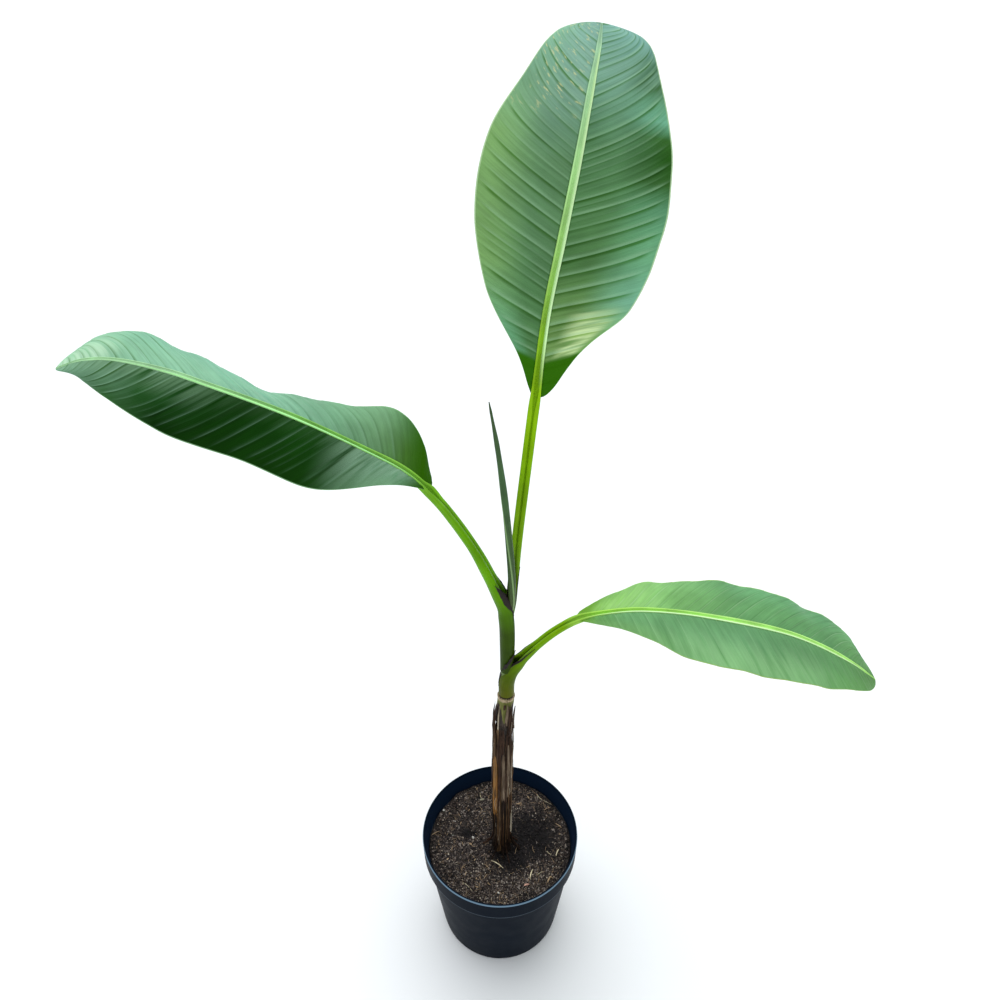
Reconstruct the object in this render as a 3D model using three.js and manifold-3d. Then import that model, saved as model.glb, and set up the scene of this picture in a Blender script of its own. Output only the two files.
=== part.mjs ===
// A young banana plant in a round nursery pot.
// Units are millimetres and +Z is up. The origin is the centre of the pot's flat underside.
// The pot holds soil, the stem stands on it, and three leaf stalks wrap the stem before they
// leave it. Each stalk carries one blade, and one rolled leaf stands in the crown.
import * as THREE from "three";
import { mergeVertices } from "three/addons/utils/BufferGeometryUtils.js";
import Module from "manifold-3d";

const wasm = await Module();
wasm.setup();

// ---------------------------------------------------------------- driving dimensions

const GAP = 0.3;
const LOOSE_GAP = 0.5;

const POT = {
  height: 200,
  rimRadius: 110,
  footRadius: 87,
  footRounding: 4,
  wall: 2.2,
  floor: 3,
  bandHeight: 34,
  bandStep: 1.8,
  lip: 1.6,
  sides: 60,
  drains: 8,
  drainRadius: 6,
  drainCircle: 62,
};

const SOIL = {
  level: 170,
  bump: 2.5,
  backRise: 0.045,
  socketLevel: 159,
  socketRadius: 29,
  socketSlope: 26,
  footRounding: 6,
  rings: 9,
  sides: 44,
};

// Stem: its axis from the soil to the fork, and the radius of its green core by height.
const STEM = {
  axis: [[2.6, -3.5, 159.3], [2.8, -1.5, 225], [2.7, 0, 276], [3.3, 0, 367], [4.6, 0, 452],
    [7.2, 0, 494], [8.4, 0, 525], [8.2, 0, 561], [8.6, 0, 595], [8.8, 0, 634]],
  facing: [0, -1, 0],
  radius: [[159.3, 15], [167, 12], [186, 10.2], [225, 10.2], [300, 11.2], [400, 11], [450, 9],
    [494, 8], [536, 7.8], [544, 6.9], [634, 6.6]],
  sides: 22,
  rootRidges: 7,
  rootRidgeDepth: 2.4,
  rootTop: 200,
};

// Dry brown sheaths of lost leaves round the lower stem: direction, half angle and height.
const DRY_SHEATHS = [
  { towards: -98, half: 31, foot: 174, tip: 462 },
  { towards: -32, half: 29, foot: 172, tip: 438 },
  { towards: 38, half: 33, foot: 177, tip: 458 },
  { towards: 108, half: 31, foot: 173, tip: 447 },
  { towards: 178, half: 33, foot: 175, tip: 484 },
];
const DRY_WALL = 1.7;
const DRY_TAPER = 95;

// The stub of a cut sheath makes a pale collar at the top of the brown part.
const STUB = { foot: 452, top: 500, wall: 1.7, half: 172, towards: 60 };

// Leaf stalks. Each axis runs from the sheath's foot on the stem to the leaf's tip, and facing
// points to the upper side. The profile gives, at lengths along the stalk, the outer radius,
// the inner radius as a share of it, and the half angle of the section round the back.
const LEFT = {
  axis: [[8.1, 0, 545], [8.5, 0, 595], [7.4, 0, 630], [3.3, 0, 659], [-21.2, 0, 725.4],
    [-49, 0, 779.5], [-71, 0, 812], [-94.8, 0, 837.8], [-130.4, 0, 862.1], [-183, 0, 894.2],
    [-223.9, 0, 915.2], [-267.3, 0, 934.5], [-302.4, 0, 949.1], [-343.9, 0, 959.7],
    [-375, 0, 959.5], [-402, 0, 950.6]],
  facing: [1, 0, 0.8],
  blade: 380,
  profile: [[0, 8, 0.86, 168], [57, 9, 0.8, 168], [92, 9.3, 0.76, 150], [119, 10, 0.5, 118],
    [157, 9.2, 0.34, 108], [207, 7.8, 0.3, 104], [287, 7, 0.3, 98]],
  midrib: [7, 1.4],
  sides: {
    plus: { width: [0, 20, 55, 69, 61, 66, 57, 31, 0], lift: [20, 24, 25, -8, -21, -15, -4, 3, 3] },
    minus: {
      width: [0, 5, 26, 58, 58, 57, 37, 10, 0],
      lift: [-10, -20, -38, -40, -40, -40, -38, -34, -30],
    },
  },
};

const RIGHT = {
  axis: [[7.6, 0, 503], [8.4, 0, 525], [14.3, 0, 545], [34.9, 0, 577.9], [62, 0, 610],
    [90.1, 0, 630.7], [124.3, 0, 640.2], [158.7, 0, 643.3], [203.9, 0, 639.1],
    [251.4, 0, 629.1], [300, 0, 616.1], [338.1, 0, 602.2], [377.2, 0, 581.3],
    [417.6, 0, 553.7], [450, 0, 526]],
  facing: [-1, 0, 1],
  blade: 400,
  profile: [[0, 9.6, 0.84, 168], [30, 9.8, 0.83, 166], [50, 9.2, 0.76, 138], [70, 7.4, 0.4, 114],
    [100, 6.4, 0.3, 104], [140, 6, 0.3, 98]],
  midrib: [5.8, 1.2],
  sides: {
    plus: {
      width: [0, 8, 26, 58, 66.5, 62, 43, 23, 0],
      lift: [-4, -10, -10, -10, -10, -10, -10, -10, -10],
    },
    minus: { width: [0, 14, 36, 62, 65, 62, 58, 30, 0], lift: [0, -1, -4, -9, 0, 0, 2, 3, 0] },
  },
};

const TOP = {
  axis: [[8.9, 0.6, 634.3], [11.6, 2.4, 650], [13.4, 5, 668], [18.4, 11, 740], [26.2, 22, 822],
    [34, 35, 896.9], [42.8, 50, 977.7], [55.6, 66, 1046.2], [67.5, 84, 1108.1],
    [77.3, 104, 1162.6], [83.4, 120, 1192], [86, 134, 1207]],
  facing: [0, -1, 0.15],
  blade: 334,
  profile: [[0, 6.4, 0.78, 150], [20, 6.3, 0.72, 130], [45, 5.9, 0.6, 116], [90, 5.7, 0.32, 106],
    [270, 5.6, 0.3, 98]],
  midrib: [5.4, 1.2],
  sides: {
    plus: { width: [0, 15, 35, 75, 87.5, 82, 61, 42, 0], lift: [20, 14, 6, 5, 5, 5, 5, 3, 0] },
    minus: { width: [0, 8, 24, 61, 82.5, 81, 56, 34, 0], lift: [20, 14, 6, 5, 5, 5, 5, 3, 0] },
  },
};

const BLADE = { thickness: 4, edge: 1.8, stations: 29, columns: 7, curl: 14 };
const STALK = { stations: 24, columns: 13 };

// Rolled young leaf in the crown: its axis and its radius by length.
const SPEAR = {
  axis: [[8.7, -1, 634.3], [12, -2.5, 650], [13, -4, 672], [11.3, -4, 718], [5, -3, 799],
    [-1.9, -2, 861], [-10.2, 0, 915.2]],
  facing: [0, -1, 0],
  radius: [[0, 3.7], [16, 4.1], [40, 4.5], [85, 4.4], [165, 3.9], [230, 2.7], [270, 1.4], [285, 0.5]],
};

const COLOUR = {
  pot: 0x1a252c,
  soil: 0x2e2621,
  stem: 0x4b6b1c,
  dry: 0x5b4029,
  stub: 0xa8957a,
  stalk: 0x6f9a1e,
  blade: 0x4f8a4f,
  spear: 0x4d6b3f,
};

// ---------------------------------------------------------------- helpers

const radians = THREE.MathUtils.degToRad;
const smooth = THREE.MathUtils.smoothstep;

/** Value at x of a table of [x, value, ...] rows, smoothly joined; column picks the value. */
function lookup(rows, x, column = 1) {
  const last = rows.length - 1;
  if (x <= rows[0][0]) return rows[0][column];
  if (x >= rows[last][0]) return rows[last][column];
  const k = rows.findIndex((row) => row[0] > x) - 1;
  const share = smooth(x, rows[k][0], rows[k + 1][0]);
  return THREE.MathUtils.lerp(rows[k][column], rows[k + 1][column], share);
}

/**
 * Value at x in 0..1 on one smooth curve through the values. They stand closer together
 * towards both ends, as even steps round a half circle do, so an outline ends rounded.
 */
function rounded(values, x) {
  const points = values.map((value, i) => new THREE.Vector3(i, value, 0));
  const step = Math.acos(THREE.MathUtils.clamp(1 - 2 * x, -1, 1)) / Math.PI;
  return new THREE.CatmullRomCurve3(points, false, "catmullrom", 0.5).getPoint(step).y;
}

/** A smooth axis with a frame at each length: place, direction, upper side and sideways. */
class Axis {
  constructor({ axis, facing }) {
    const points = axis.map((p) => new THREE.Vector3(...p));
    this.curve = new THREE.CatmullRomCurve3(points, false, "catmullrom", 0.5);
    this.curve.arcLengthDivisions = 600;
    this.facing = new THREE.Vector3(...facing);
    this.length = this.curve.getLength();
  }

  frame(length) {
    const share = THREE.MathUtils.clamp(length / this.length, 0, 1);
    const place = this.curve.getPointAt(share);
    const along = this.curve.getTangentAt(share);
    const up = this.facing.clone().addScaledVector(along, -this.facing.dot(along)).normalize();
    const sideways = new THREE.Vector3().crossVectors(along, up);
    return { place, along, up, sideways };
  }
}

const moved = (frame, sideways, up) =>
  frame.place.clone().addScaledVector(frame.sideways, sideways).addScaledVector(frame.up, up);

/** Geometry from points and faces, turned so that its faces point out. */
function closedBody(points, faces) {
  let volume = 0;
  for (const [a, b, c] of faces) {
    volume += points[a].dot(new THREE.Vector3().crossVectors(points[b], points[c]));
  }
  const index = faces.flatMap(([a, b, c]) => (volume < 0 ? [a, c, b] : [a, b, c]));
  const geometry = new THREE.BufferGeometry();
  const flat = points.flatMap((p) => [p.x, p.y, p.z]);
  geometry.setAttribute("position", new THREE.Float32BufferAttribute(flat, 3));
  geometry.setIndex(index);
  return geometry;
}

const quad = (a, b, c, d) => [[a, b, c], [a, c, d]];

/** A closed shell from stations that each hold two rows of points, one for each face. */
function shell(stations) {
  const columns = stations[0].outer.length;
  const points = stations.flatMap((s) => [...s.outer, ...s.inner]);
  const at = (station, row, column) => station * 2 * columns + row * columns + column;
  const faces = [];
  for (let s = 0; s + 1 < stations.length; s += 1) {
    for (let c = 0; c + 1 < columns; c += 1) {
      faces.push(...quad(at(s, 0, c), at(s, 0, c + 1), at(s + 1, 0, c + 1), at(s + 1, 0, c)));
      faces.push(...quad(at(s, 1, c), at(s + 1, 1, c), at(s + 1, 1, c + 1), at(s, 1, c + 1)));
    }
    const end = columns - 1;
    faces.push(...quad(at(s, 0, 0), at(s + 1, 0, 0), at(s + 1, 1, 0), at(s, 1, 0)));
    faces.push(...quad(at(s, 0, end), at(s, 1, end), at(s + 1, 1, end), at(s + 1, 0, end)));
  }
  const last = stations.length - 1;
  for (let c = 0; c + 1 < columns; c += 1) {
    faces.push(...quad(at(0, 0, c), at(0, 1, c), at(0, 1, c + 1), at(0, 0, c + 1)));
    faces.push(...quad(at(last, 0, c), at(last, 0, c + 1), at(last, 1, c + 1), at(last, 1, c)));
  }
  return closedBody(points, faces);
}

/** A closed solid limb from rings of points, with a flat fan over each end. */
function limb(rings) {
  const sides = rings[0].length;
  const points = rings.flat();
  const middle = (ring) =>
    ring.reduce((sum, p) => sum.add(p), new THREE.Vector3()).divideScalar(sides);
  const foot = points.push(middle(rings[0])) - 1;
  const tip = points.push(middle(rings.at(-1))) - 1;
  const faces = [];
  for (let c = 0; c < sides; c += 1) {
    const next = (c + 1) % sides;
    for (let r = 0; r + 1 < rings.length; r += 1) {
      faces.push(...quad(r * sides + c, r * sides + next, (r + 1) * sides + next, (r + 1) * sides + c));
    }
    const end = (rings.length - 1) * sides;
    faces.push([foot, next, c], [tip, end + c, end + next]);
  }
  return closedBody(points, faces);
}

/** Round rings along an axis, with the radius from a function of length and angle. */
function roundRings(axis, lengths, sides, radius) {
  return lengths.map((length) => {
    const frame = axis.frame(length);
    return Array.from({ length: sides }, (_, k) => {
      const angle = (2 * Math.PI * k) / sides;
      const r = radius(length, angle, frame);
      return moved(frame, r * Math.cos(angle), r * Math.sin(angle));
    });
  });
}

/** Points set to one height, for a flat cut across a limb. */
function levelled(points, height) {
  for (const point of points) point.z = height;
}

const evenly = (from, to, count) =>
  Array.from({ length: count }, (_, i) => from + ((to - from) * i) / (count - 1));

function toSolid(geometry) {
  const bare = geometry.clone();
  bare.deleteAttribute("normal");
  bare.deleteAttribute("uv");
  const merged = mergeVertices(bare, 1e-4);
  return new wasm.Manifold(new wasm.Mesh({
    numProp: 3,
    vertProperties: new Float32Array(merged.attributes.position.array),
    triVerts: new Uint32Array(merged.index.array),
  }));
}

function toGeometry(solid) {
  const mesh = solid.getMesh();
  const geometry = new THREE.BufferGeometry();
  geometry.setAttribute("position", new THREE.BufferAttribute(mesh.vertProperties, 3));
  geometry.setIndex(new THREE.BufferAttribute(mesh.triVerts, 1));
  return geometry;
}

/** The body less each tool; only its largest part is kept. */
function cutBy(geometry, ...tools) {
  let solid = toSolid(geometry);
  for (const tool of tools) solid = solid.subtract(toSolid(tool));
  const parts = solid.decompose().sort((a, b) => b.volume() - a.volume());
  return toGeometry(parts[0]);
}

const plant = new THREE.Group();

function add(name, geometry, color, roughness) {
  geometry.deleteAttribute("normal");
  geometry.computeVertexNormals();
  const material = new THREE.MeshStandardMaterial({ color, roughness, metalness: 0 });
  const mesh = new THREE.Mesh(geometry, material);
  mesh.name = name;
  plant.add(mesh);
  return geometry;
}

// ---------------------------------------------------------------- pot and soil

/** Outer radius of the pot's tapered wall at a height. */
const wallRadius = (z) =>
  THREE.MathUtils.lerp(POT.footRadius, POT.rimRadius - POT.bandStep, z / POT.height);

function potGeometry() {
  const { height, wall, floor, lip } = POT;
  const bandFoot = height - POT.bandHeight;
  const inner = (z) => wallRadius(z) - wall;
  const rounding = (k) => radians(30 * k);
  const profile = [
    [0, 0],
    ...[0, 1, 2, 3].map((k) => [
      POT.footRadius - POT.footRounding * (1 - Math.sin(rounding(k))),
      POT.footRounding * (1 - Math.cos(rounding(k))),
    ]),
    [wallRadius(bandFoot), bandFoot],
    [POT.rimRadius - 0.6, bandFoot + 1],
    [POT.rimRadius, height - 2 * lip],
    ...[0, 1, 2, 3, 4].map((k) => [
      POT.rimRadius - lip + lip * Math.cos(radians(45 * k)),
      height - lip + lip * Math.sin(radians(45 * k)),
    ]),
    [inner(height - 12), height - 12],
    [inner(floor + 4), floor + 4],
    [inner(floor + 4) - 4, floor],
    [0, floor],
  ];
  const points = profile.map(([r, z]) => new THREE.Vector2(r, z));
  const body = new THREE.LatheGeometry(points, POT.sides);
  body.rotateX(Math.PI / 2);
  const drains = Array.from({ length: POT.drains }, (_, k) => {
    const angle = (2 * Math.PI * (k + 0.5)) / POT.drains;
    const drain = new THREE.CylinderGeometry(POT.drainRadius, POT.drainRadius, 4 * floor, 14);
    drain.rotateX(Math.PI / 2);
    drain.translate(POT.drainCircle * Math.cos(angle), POT.drainCircle * Math.sin(angle), 0);
    return drain;
  });
  return cutBy(body, ...drains);
}

/** Height of the soil: low lumps, a rise to the back, and a flat socket under the stem. */
function soilHeight(x, y) {
  const lumps = Math.sin(x / 13 + 1.1) * Math.cos(y / 17) + 0.6 * Math.sin((x + y) / 9);
  const [stemX, stemY] = STEM.axis[0];
  const away = Math.hypot(x - stemX, y - stemY);
  const open = smooth(away, SOIL.socketRadius, SOIL.socketRadius + SOIL.socketSlope);
  const level = SOIL.level + SOIL.bump * lumps + SOIL.backRise * Math.max(y, 0);
  return THREE.MathUtils.lerp(SOIL.socketLevel, level, open);
}

function soilGeometry() {
  const [stemX, stemY] = STEM.axis[0];
  const reach = (z) => wallRadius(z) - POT.wall - 1.5 * GAP;
  const topReach = reach(SOIL.level - 5);
  const bottom = POT.floor + GAP;
  const points = [new THREE.Vector3(stemX, stemY, SOIL.socketLevel)];
  for (let ring = 1; ring <= SOIL.rings; ring += 1) {
    for (let k = 0; k < SOIL.sides; k += 1) {
      const angle = (2 * Math.PI * k) / SOIL.sides;
      const share = ring / SOIL.rings;
      const x = stemX * (1 - share) + share * topReach * Math.cos(angle);
      const y = stemY * (1 - share) + share * topReach * Math.sin(angle);
      points.push(new THREE.Vector3(x, y, soilHeight(x, y)));
    }
  }
  const corner = POT.floor + SOIL.footRounding;
  for (const [r, z] of [[reach(corner), corner], [reach(corner) - SOIL.footRounding + 1, bottom]]) {
    for (let k = 0; k < SOIL.sides; k += 1) {
      const angle = (2 * Math.PI * k) / SOIL.sides;
      points.push(new THREE.Vector3(r * Math.cos(angle), r * Math.sin(angle), z));
    }
  }
  const below = points.push(new THREE.Vector3(0, 0, bottom)) - 1;
  const faces = [];
  const at = (ring, k) => 1 + (ring - 1) * SOIL.sides + (k % SOIL.sides);
  for (let k = 0; k < SOIL.sides; k += 1) {
    faces.push([0, at(1, k), at(1, k + 1)]);
    for (let ring = 1; ring < SOIL.rings + 2; ring += 1) {
      faces.push(...quad(at(ring, k), at(ring + 1, k), at(ring + 1, k + 1), at(ring, k + 1)));
    }
    faces.push([below, at(SOIL.rings + 2, k + 1), at(SOIL.rings + 2, k)]);
  }
  return closedBody(points, faces);
}

// ---------------------------------------------------------------- stem and dry sheaths

const stemAxis = new Axis(STEM);

function stemRadius(height, angle) {
  const ridges = 0.5 + 0.5 * Math.cos(STEM.rootRidges * angle);
  const near = 1 - smooth(height, STEM.axis[0][2], STEM.rootTop);
  return lookup(STEM.radius, height) + STEM.rootRidgeDepth * near * near * ridges;
}

const stemLengths = [0, 4, 9, 16, 27, 45, 80, 130, 180, 230, 265, 290, 315, 335, 355, 377, 381,
  385, 410, 440, stemAxis.length];

/** The stem's core, grown all round by a clearance. */
function stemGeometry(grown = 0) {
  const radius = (length, angle, frame) => stemRadius(frame.place.z, angle) + grown;
  const rings = roundRings(stemAxis, stemLengths, STEM.sides, radius);
  levelled(rings[0], STEM.axis[0][2] - grown);
  levelled(rings.at(-1), STEM.axis.at(-1)[2] + grown);
  return limb(rings);
}

/** Arc of a shell round an axis at one station, from its back outwards by a half angle. */
function arcStation(frame, { outer, inner, half, towards = 180, columns }) {
  const arc = (radius) => evenly(-half, half, columns).map((degrees) => {
    const angle = radians(degrees + towards);
    return moved(frame, radius * Math.sin(angle), radius * Math.cos(angle));
  });
  return { outer: arc(outer), inner: arc(inner) };
}

/** How much a dry sheath stands further out where it lies over the stub's collar. */
const overStub = (z) => (STUB.wall + LOOSE_GAP) * smooth(z, STUB.foot - 50, STUB.foot - 20);

function drySheath({ towards, half, foot, tip }) {
  const start = foot - STEM.axis[0][2];
  const lengths = evenly(start, start + tip - foot, 13);
  return shell(lengths.map((length) => {
    const frame = stemAxis.frame(length);
    const z = frame.place.z;
    const skirt = 1.2 * STEM.rootRidgeDepth * (1 - smooth(z, STEM.axis[0][2], STEM.rootTop)) ** 2;
    const inner = lookup(STEM.radius, z) + skirt + LOOSE_GAP + overStub(z);
    const left = THREE.MathUtils.clamp((tip - z) / DRY_TAPER, 0.02, 1);
    const ripple = 1 + 0.05 * Math.sin(z / 15 + towards);
    const point = half * Math.sqrt(left) * ripple;
    return arcStation(frame, { outer: inner + DRY_WALL, inner, half: point, towards, columns: 6 });
  }));
}

function stubGeometry() {
  const start = STUB.foot - STEM.axis[0][2];
  const lengths = evenly(start, start + STUB.top - STUB.foot, 6);
  return shell(lengths.map((length) => {
    const frame = stemAxis.frame(length);
    const inner = lookup(STEM.radius, frame.place.z) + LOOSE_GAP;
    const outer = inner + STUB.wall;
    return arcStation(frame, { outer, inner, half: STUB.half, towards: STUB.towards, columns: 15 });
  }));
}

// ---------------------------------------------------------------- leaves

/** Lengths at which the stalk ends and the blade begins, with the gap between them. */
function stalkAndBlade(leaf) {
  const axis = new Axis(leaf);
  const join = axis.length - leaf.blade;
  return { axis, stalkEnd: join - GAP / 2, bladeStart: join + GAP / 2 };
}

/** A leaf stalk: a sheath round the stem below, and a channelled stalk above. */
function stalkGeometry(leaf) {
  const { axis, stalkEnd } = stalkAndBlade(leaf);
  const stations = evenly(0, stalkEnd, STALK.stations).map((length) => {
    const outer = lookup(leaf.profile, length, 1);
    const inner = outer * lookup(leaf.profile, length, 2);
    const half = lookup(leaf.profile, length, 3);
    return arcStation(axis.frame(length), { outer, inner, half, columns: STALK.columns });
  });
  levelled([...stations[0].outer, ...stations[0].inner], leaf.axis[0][2]);
  return shell(stations);
}

/** The room that a stalk's lower part takes up, with its clearance, as a solid limb. */
function stalkRoom(leaf, reach) {
  const axis = new Axis(leaf);
  const radius = (length) => lookup(leaf.profile, length, 1) + LOOSE_GAP;
  const rings = roundRings(axis, evenly(0, reach, 12), STEM.sides, radius);
  levelled(rings[0], leaf.axis[0][2] - GAP);
  return limb(rings);
}

/** One half of a blade's section, from the midrib out: points on its upper face. */
function halfSection(frame, side, x, sign) {
  const width = Math.max(rounded(side.width, x), 0.5);
  const lift = rounded(side.lift, x);
  const points = [];
  let sideways = 0;
  let up = 0;
  const steps = BLADE.columns - 1;
  for (let k = 0; k <= steps; k += 1) {
    points.push({ place: moved(frame, sign * sideways, up), share: k / steps });
    const angle = radians(lift + BLADE.curl * (0.5 - (k + 0.5) / steps));
    sideways += (width / steps) * Math.cos(angle);
    up += (width / steps) * Math.sin(angle);
  }
  return points;
}

/** A blade with its midrib: the upper face, and a lower face that bulges under the midrib. */
function bladeGeometry(leaf) {
  const { axis, bladeStart } = stalkAndBlade(leaf);
  const [ribFoot, ribTip] = leaf.midrib;
  const stations = evenly(0, 1, BLADE.stations).map((step) => {
    const x = (1 - Math.cos(Math.PI * step)) / 2;
    const frame = axis.frame(THREE.MathUtils.lerp(bladeStart, axis.length, x));
    const plus = halfSection(frame, leaf.sides.plus, x, 1);
    const minus = halfSection(frame, leaf.sides.minus, x, -1);
    const row = [...minus.slice(1).reverse(), ...plus];
    const rib = THREE.MathUtils.lerp(ribFoot, ribTip, x);
    const inner = row.map(({ place, share }) => {
      const sheet = THREE.MathUtils.lerp(BLADE.thickness, BLADE.edge, smooth(share, 0.8, 1));
      const bulge = share === 0 ? rib : 0;
      const thin = THREE.MathUtils.lerp(1, 0.5, smooth(x, 0.93, 1));
      return place.clone().addScaledVector(frame.up, -(sheet + bulge) * thin);
    });
    return { outer: row.map((p) => p.place), inner };
  });
  return shell(stations);
}

/** The rolled young leaf: a slim tapering rod. */
function spearGeometry(grown = 0) {
  const axis = new Axis(SPEAR);
  const lengths = evenly(0, axis.length, 18);
  const rings = roundRings(axis, lengths, 10, (length) => lookup(SPEAR.radius, length) + grown);
  levelled(rings[0], SPEAR.axis[0][2] - grown);
  return limb(rings);
}

// ---------------------------------------------------------------- the plant

add("pot", potGeometry(), COLOUR.pot, 0.5);
add("soil", soilGeometry(), COLOUR.soil, 0.95);
add("trunk", stemGeometry(), COLOUR.stem, 0.5);
DRY_SHEATHS.forEach((sheath, i) => {
  add(`dry_sheath_${i + 1}`, drySheath(sheath), COLOUR.dry, 0.85);
});
add("cut_sheath", stubGeometry(), COLOUR.stub, 0.8);

const stemRoom = stemGeometry(GAP);
const spearRoom = spearGeometry(GAP);
const topRoom = stalkRoom(TOP, 60);
const leftRoom = stalkRoom(LEFT, 60);
add("spear_leaf", spearGeometry(), COLOUR.spear, 0.45);
add("stalk_top", cutBy(stalkGeometry(TOP), spearRoom), COLOUR.stalk, 0.4);
add("stalk_left", cutBy(stalkGeometry(LEFT), stemRoom, topRoom, spearRoom), COLOUR.stalk, 0.4);
add("stalk_right", cutBy(stalkGeometry(RIGHT), stemRoom, leftRoom), COLOUR.stalk, 0.4);
add("leaf_top", bladeGeometry(TOP), COLOUR.blade, 0.45);
add("leaf_left", bladeGeometry(LEFT), COLOUR.blade, 0.45);
add("leaf_right", bladeGeometry(RIGHT), COLOUR.blade, 0.45);

export default plant;
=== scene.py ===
import math
from itertools import combinations

import bpy
import numpy as np
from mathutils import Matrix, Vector, noise


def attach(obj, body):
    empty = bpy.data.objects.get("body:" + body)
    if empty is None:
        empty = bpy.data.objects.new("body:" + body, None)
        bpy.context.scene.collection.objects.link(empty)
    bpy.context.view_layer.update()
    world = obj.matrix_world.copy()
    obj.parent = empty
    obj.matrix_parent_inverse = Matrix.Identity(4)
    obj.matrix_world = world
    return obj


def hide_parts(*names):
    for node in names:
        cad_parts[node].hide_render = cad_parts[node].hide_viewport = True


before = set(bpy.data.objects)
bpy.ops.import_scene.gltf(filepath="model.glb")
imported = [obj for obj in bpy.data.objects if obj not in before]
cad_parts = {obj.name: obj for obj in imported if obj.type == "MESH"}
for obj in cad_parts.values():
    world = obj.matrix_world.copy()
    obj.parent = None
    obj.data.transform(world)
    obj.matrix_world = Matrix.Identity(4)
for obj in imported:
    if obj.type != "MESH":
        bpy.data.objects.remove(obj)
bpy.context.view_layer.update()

MM = 0.001
BODY = "root"

# ---------------- driving dimensions

POT = {
    "height": 200, "rim_radius": 110, "foot_radius": 87, "foot_rounding": 4, "wall": 2.2,
    "floor": 3, "band_height": 34, "band_step": 1.8, "lip": 1.6,
    "drains": 8, "drain_radius": 6, "drain_circle": 62,
}
SOIL = {
    "level": 170, "bump": 2.5, "back_rise": 0.045, "foot_level": 168, "hollow_radius": 14,
    "hollow_slope": 30, "clearance": 0.5, "foot": 9,
}
STEM = {
    "axis": [
        (2.6, -3.5, 159.3), (2.8, -1.5, 225), (2.7, 0, 276), (3.3, 0, 367), (4.6, 0, 452),
        (7.2, 0, 494), (8.4, 0, 525), (8.2, 0, 561), (8.6, 0, 595), (8.8, 0, 634),
    ],
    "facing": (0, -1, 0),
    "radius": [
        (159.3, 15), (167, 12), (186, 10.2), (225, 10.2), (300, 11), (400, 10.6), (438, 10.2),
        (452, 8.2), (494, 8), (536, 7.8), (544, 6.9), (634, 6.6),
    ],
    "root_ridges": 7, "root_ridge_depth": 2.4, "root_top": 200,
}
STUB = {"foot": 452, "top": 500, "wall": 1.7, "half": 172, "towards": 60}
LOOSE_GAP = 0.5
DRY_WALL = 1.7
DRY_TAPER = 95

# Leaves: the axis from the sheath's foot to the leaf's tip, the side that is the upper one, the
# stalk's profile (length, outer radius, inner share, half angle), the midrib's half width along
# the blade (share of the blade, half width), the width, lift and lean of both halves, the breadth
# of the pleats at the foot and at the tip, and the papery margins (length, width) of the sheath.
LEFT = {
    "axis": [
        (8.1, 0, 545), (8.5, 0, 595), (7.4, 0, 630), (3.3, 0, 659), (-21.2, 0, 725.4), (-49, 0, 779.5),
        (-71, 0, 812), (-94.8, 0, 837.8), (-130.4, 0, 862.1), (-183, 0, 894.2), (-223.9, 0, 915.2),
        (-267.3, 0, 934.5), (-302.4, 0, 949.1), (-343.9, 0, 959.7), (-375, 0, 959.5), (-402, 0, 950.6),
    ],
    "facing": (1, 0, 0.8),
    "blade": 380,
    "profile": [
        (0, 8, 0.86, 168), (57, 9, 0.8, 168), (92, 9.3, 0.76, 150), (119, 10, 0.4, 112),
        (157, 9.2, 0.12, 96), (207, 7.8, 0.12, 94), (287, 7, 0.12, 94),
    ],
    "rib": [(0, 4.2), (0.05, 2.5), (0.2, 2.3), (0.45, 3.2), (0.7, 2.8), (0.9, 1.7), (1, 0.7)],
    "plus": {"width": [0, 20, 55, 69, 62, 68, 60, 31, 0],
             "lift": [20, 24, 25, -8, -21, -15, -4, 3, 3],
             "lean": [(0, 62), (0.3, 58), (0.6, 44), (0.85, 36), (1, 34)]},
    "minus": {"width": [0, 5, 26, 58, 58, 57, 37, 10, 0],
              "lift": [-10, -20, -38, -40, -40, -40, -38, -34, -30],
              "lean": [(0, 56), (0.35, 50), (0.6, 42), (0.85, 34), (1, 30)]},
    "pleats": 25,
    "crowding": (1.1, 0.9),
    "margin_side": "minus",
    "margins": [(84, 0.3), (100, 2.4), (114, 6.0), (128, 5.0), (146, 0.6)],
}
RIGHT = {
    "axis": [
        (7.6, 0, 503), (8.4, 0, 525), (14.3, 0, 545), (34.9, 0, 577.9), (62, 0, 610), (90.1, 0, 630.7),
        (124.3, 0, 640.2), (158.7, 0, 643.3), (203.9, 0, 639.1), (251.4, 0, 629.1), (300, 0, 616.1),
        (338.1, 0, 602.2), (377.2, 0, 581.3), (417.6, 0, 553.7), (450, 0, 526),
    ],
    "facing": (-1, 0, 1),
    "blade": 400,
    "profile": [
        (0, 9.6, 0.84, 168), (30, 9.8, 0.83, 166), (50, 9.2, 0.76, 138), (70, 7.4, 0.25, 106),
        (100, 6.4, 0.12, 95), (140, 6, 0.12, 94),
    ],
    "rib": [(0, 5), (0.08, 3.2), (0.3, 3.5), (0.5, 3.9), (0.8, 3.5), (0.93, 2), (1, 0.7)],
    "plus": {"width": [0, 8, 26, 58, 66.5, 62, 43, 23, 0],
             "lift": [-4, -10, -10, -10, -10, -10, -10, -10, -10],
             "lean": [(0, 72), (0.4, 66), (0.8, 60), (1, 50)]},
    "minus": {"width": [0, 14, 36, 62, 65, 62, 58, 30, 0],
              "lift": [0, -1, -4, -9, 0, 0, 2, 3, 0],
              "lean": [(0, 48), (0.3, 42), (0.5, 38), (0.7, 30), (0.85, 22), (1, 18)]},
    "pleats": 25,
    "crowding": (1, 1),
    "margin_side": "plus",
    "margins": [(14, 0.5), (30, 2.6), (46, 3.8), (62, 2.2), (92, 0.4)],
}
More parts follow.
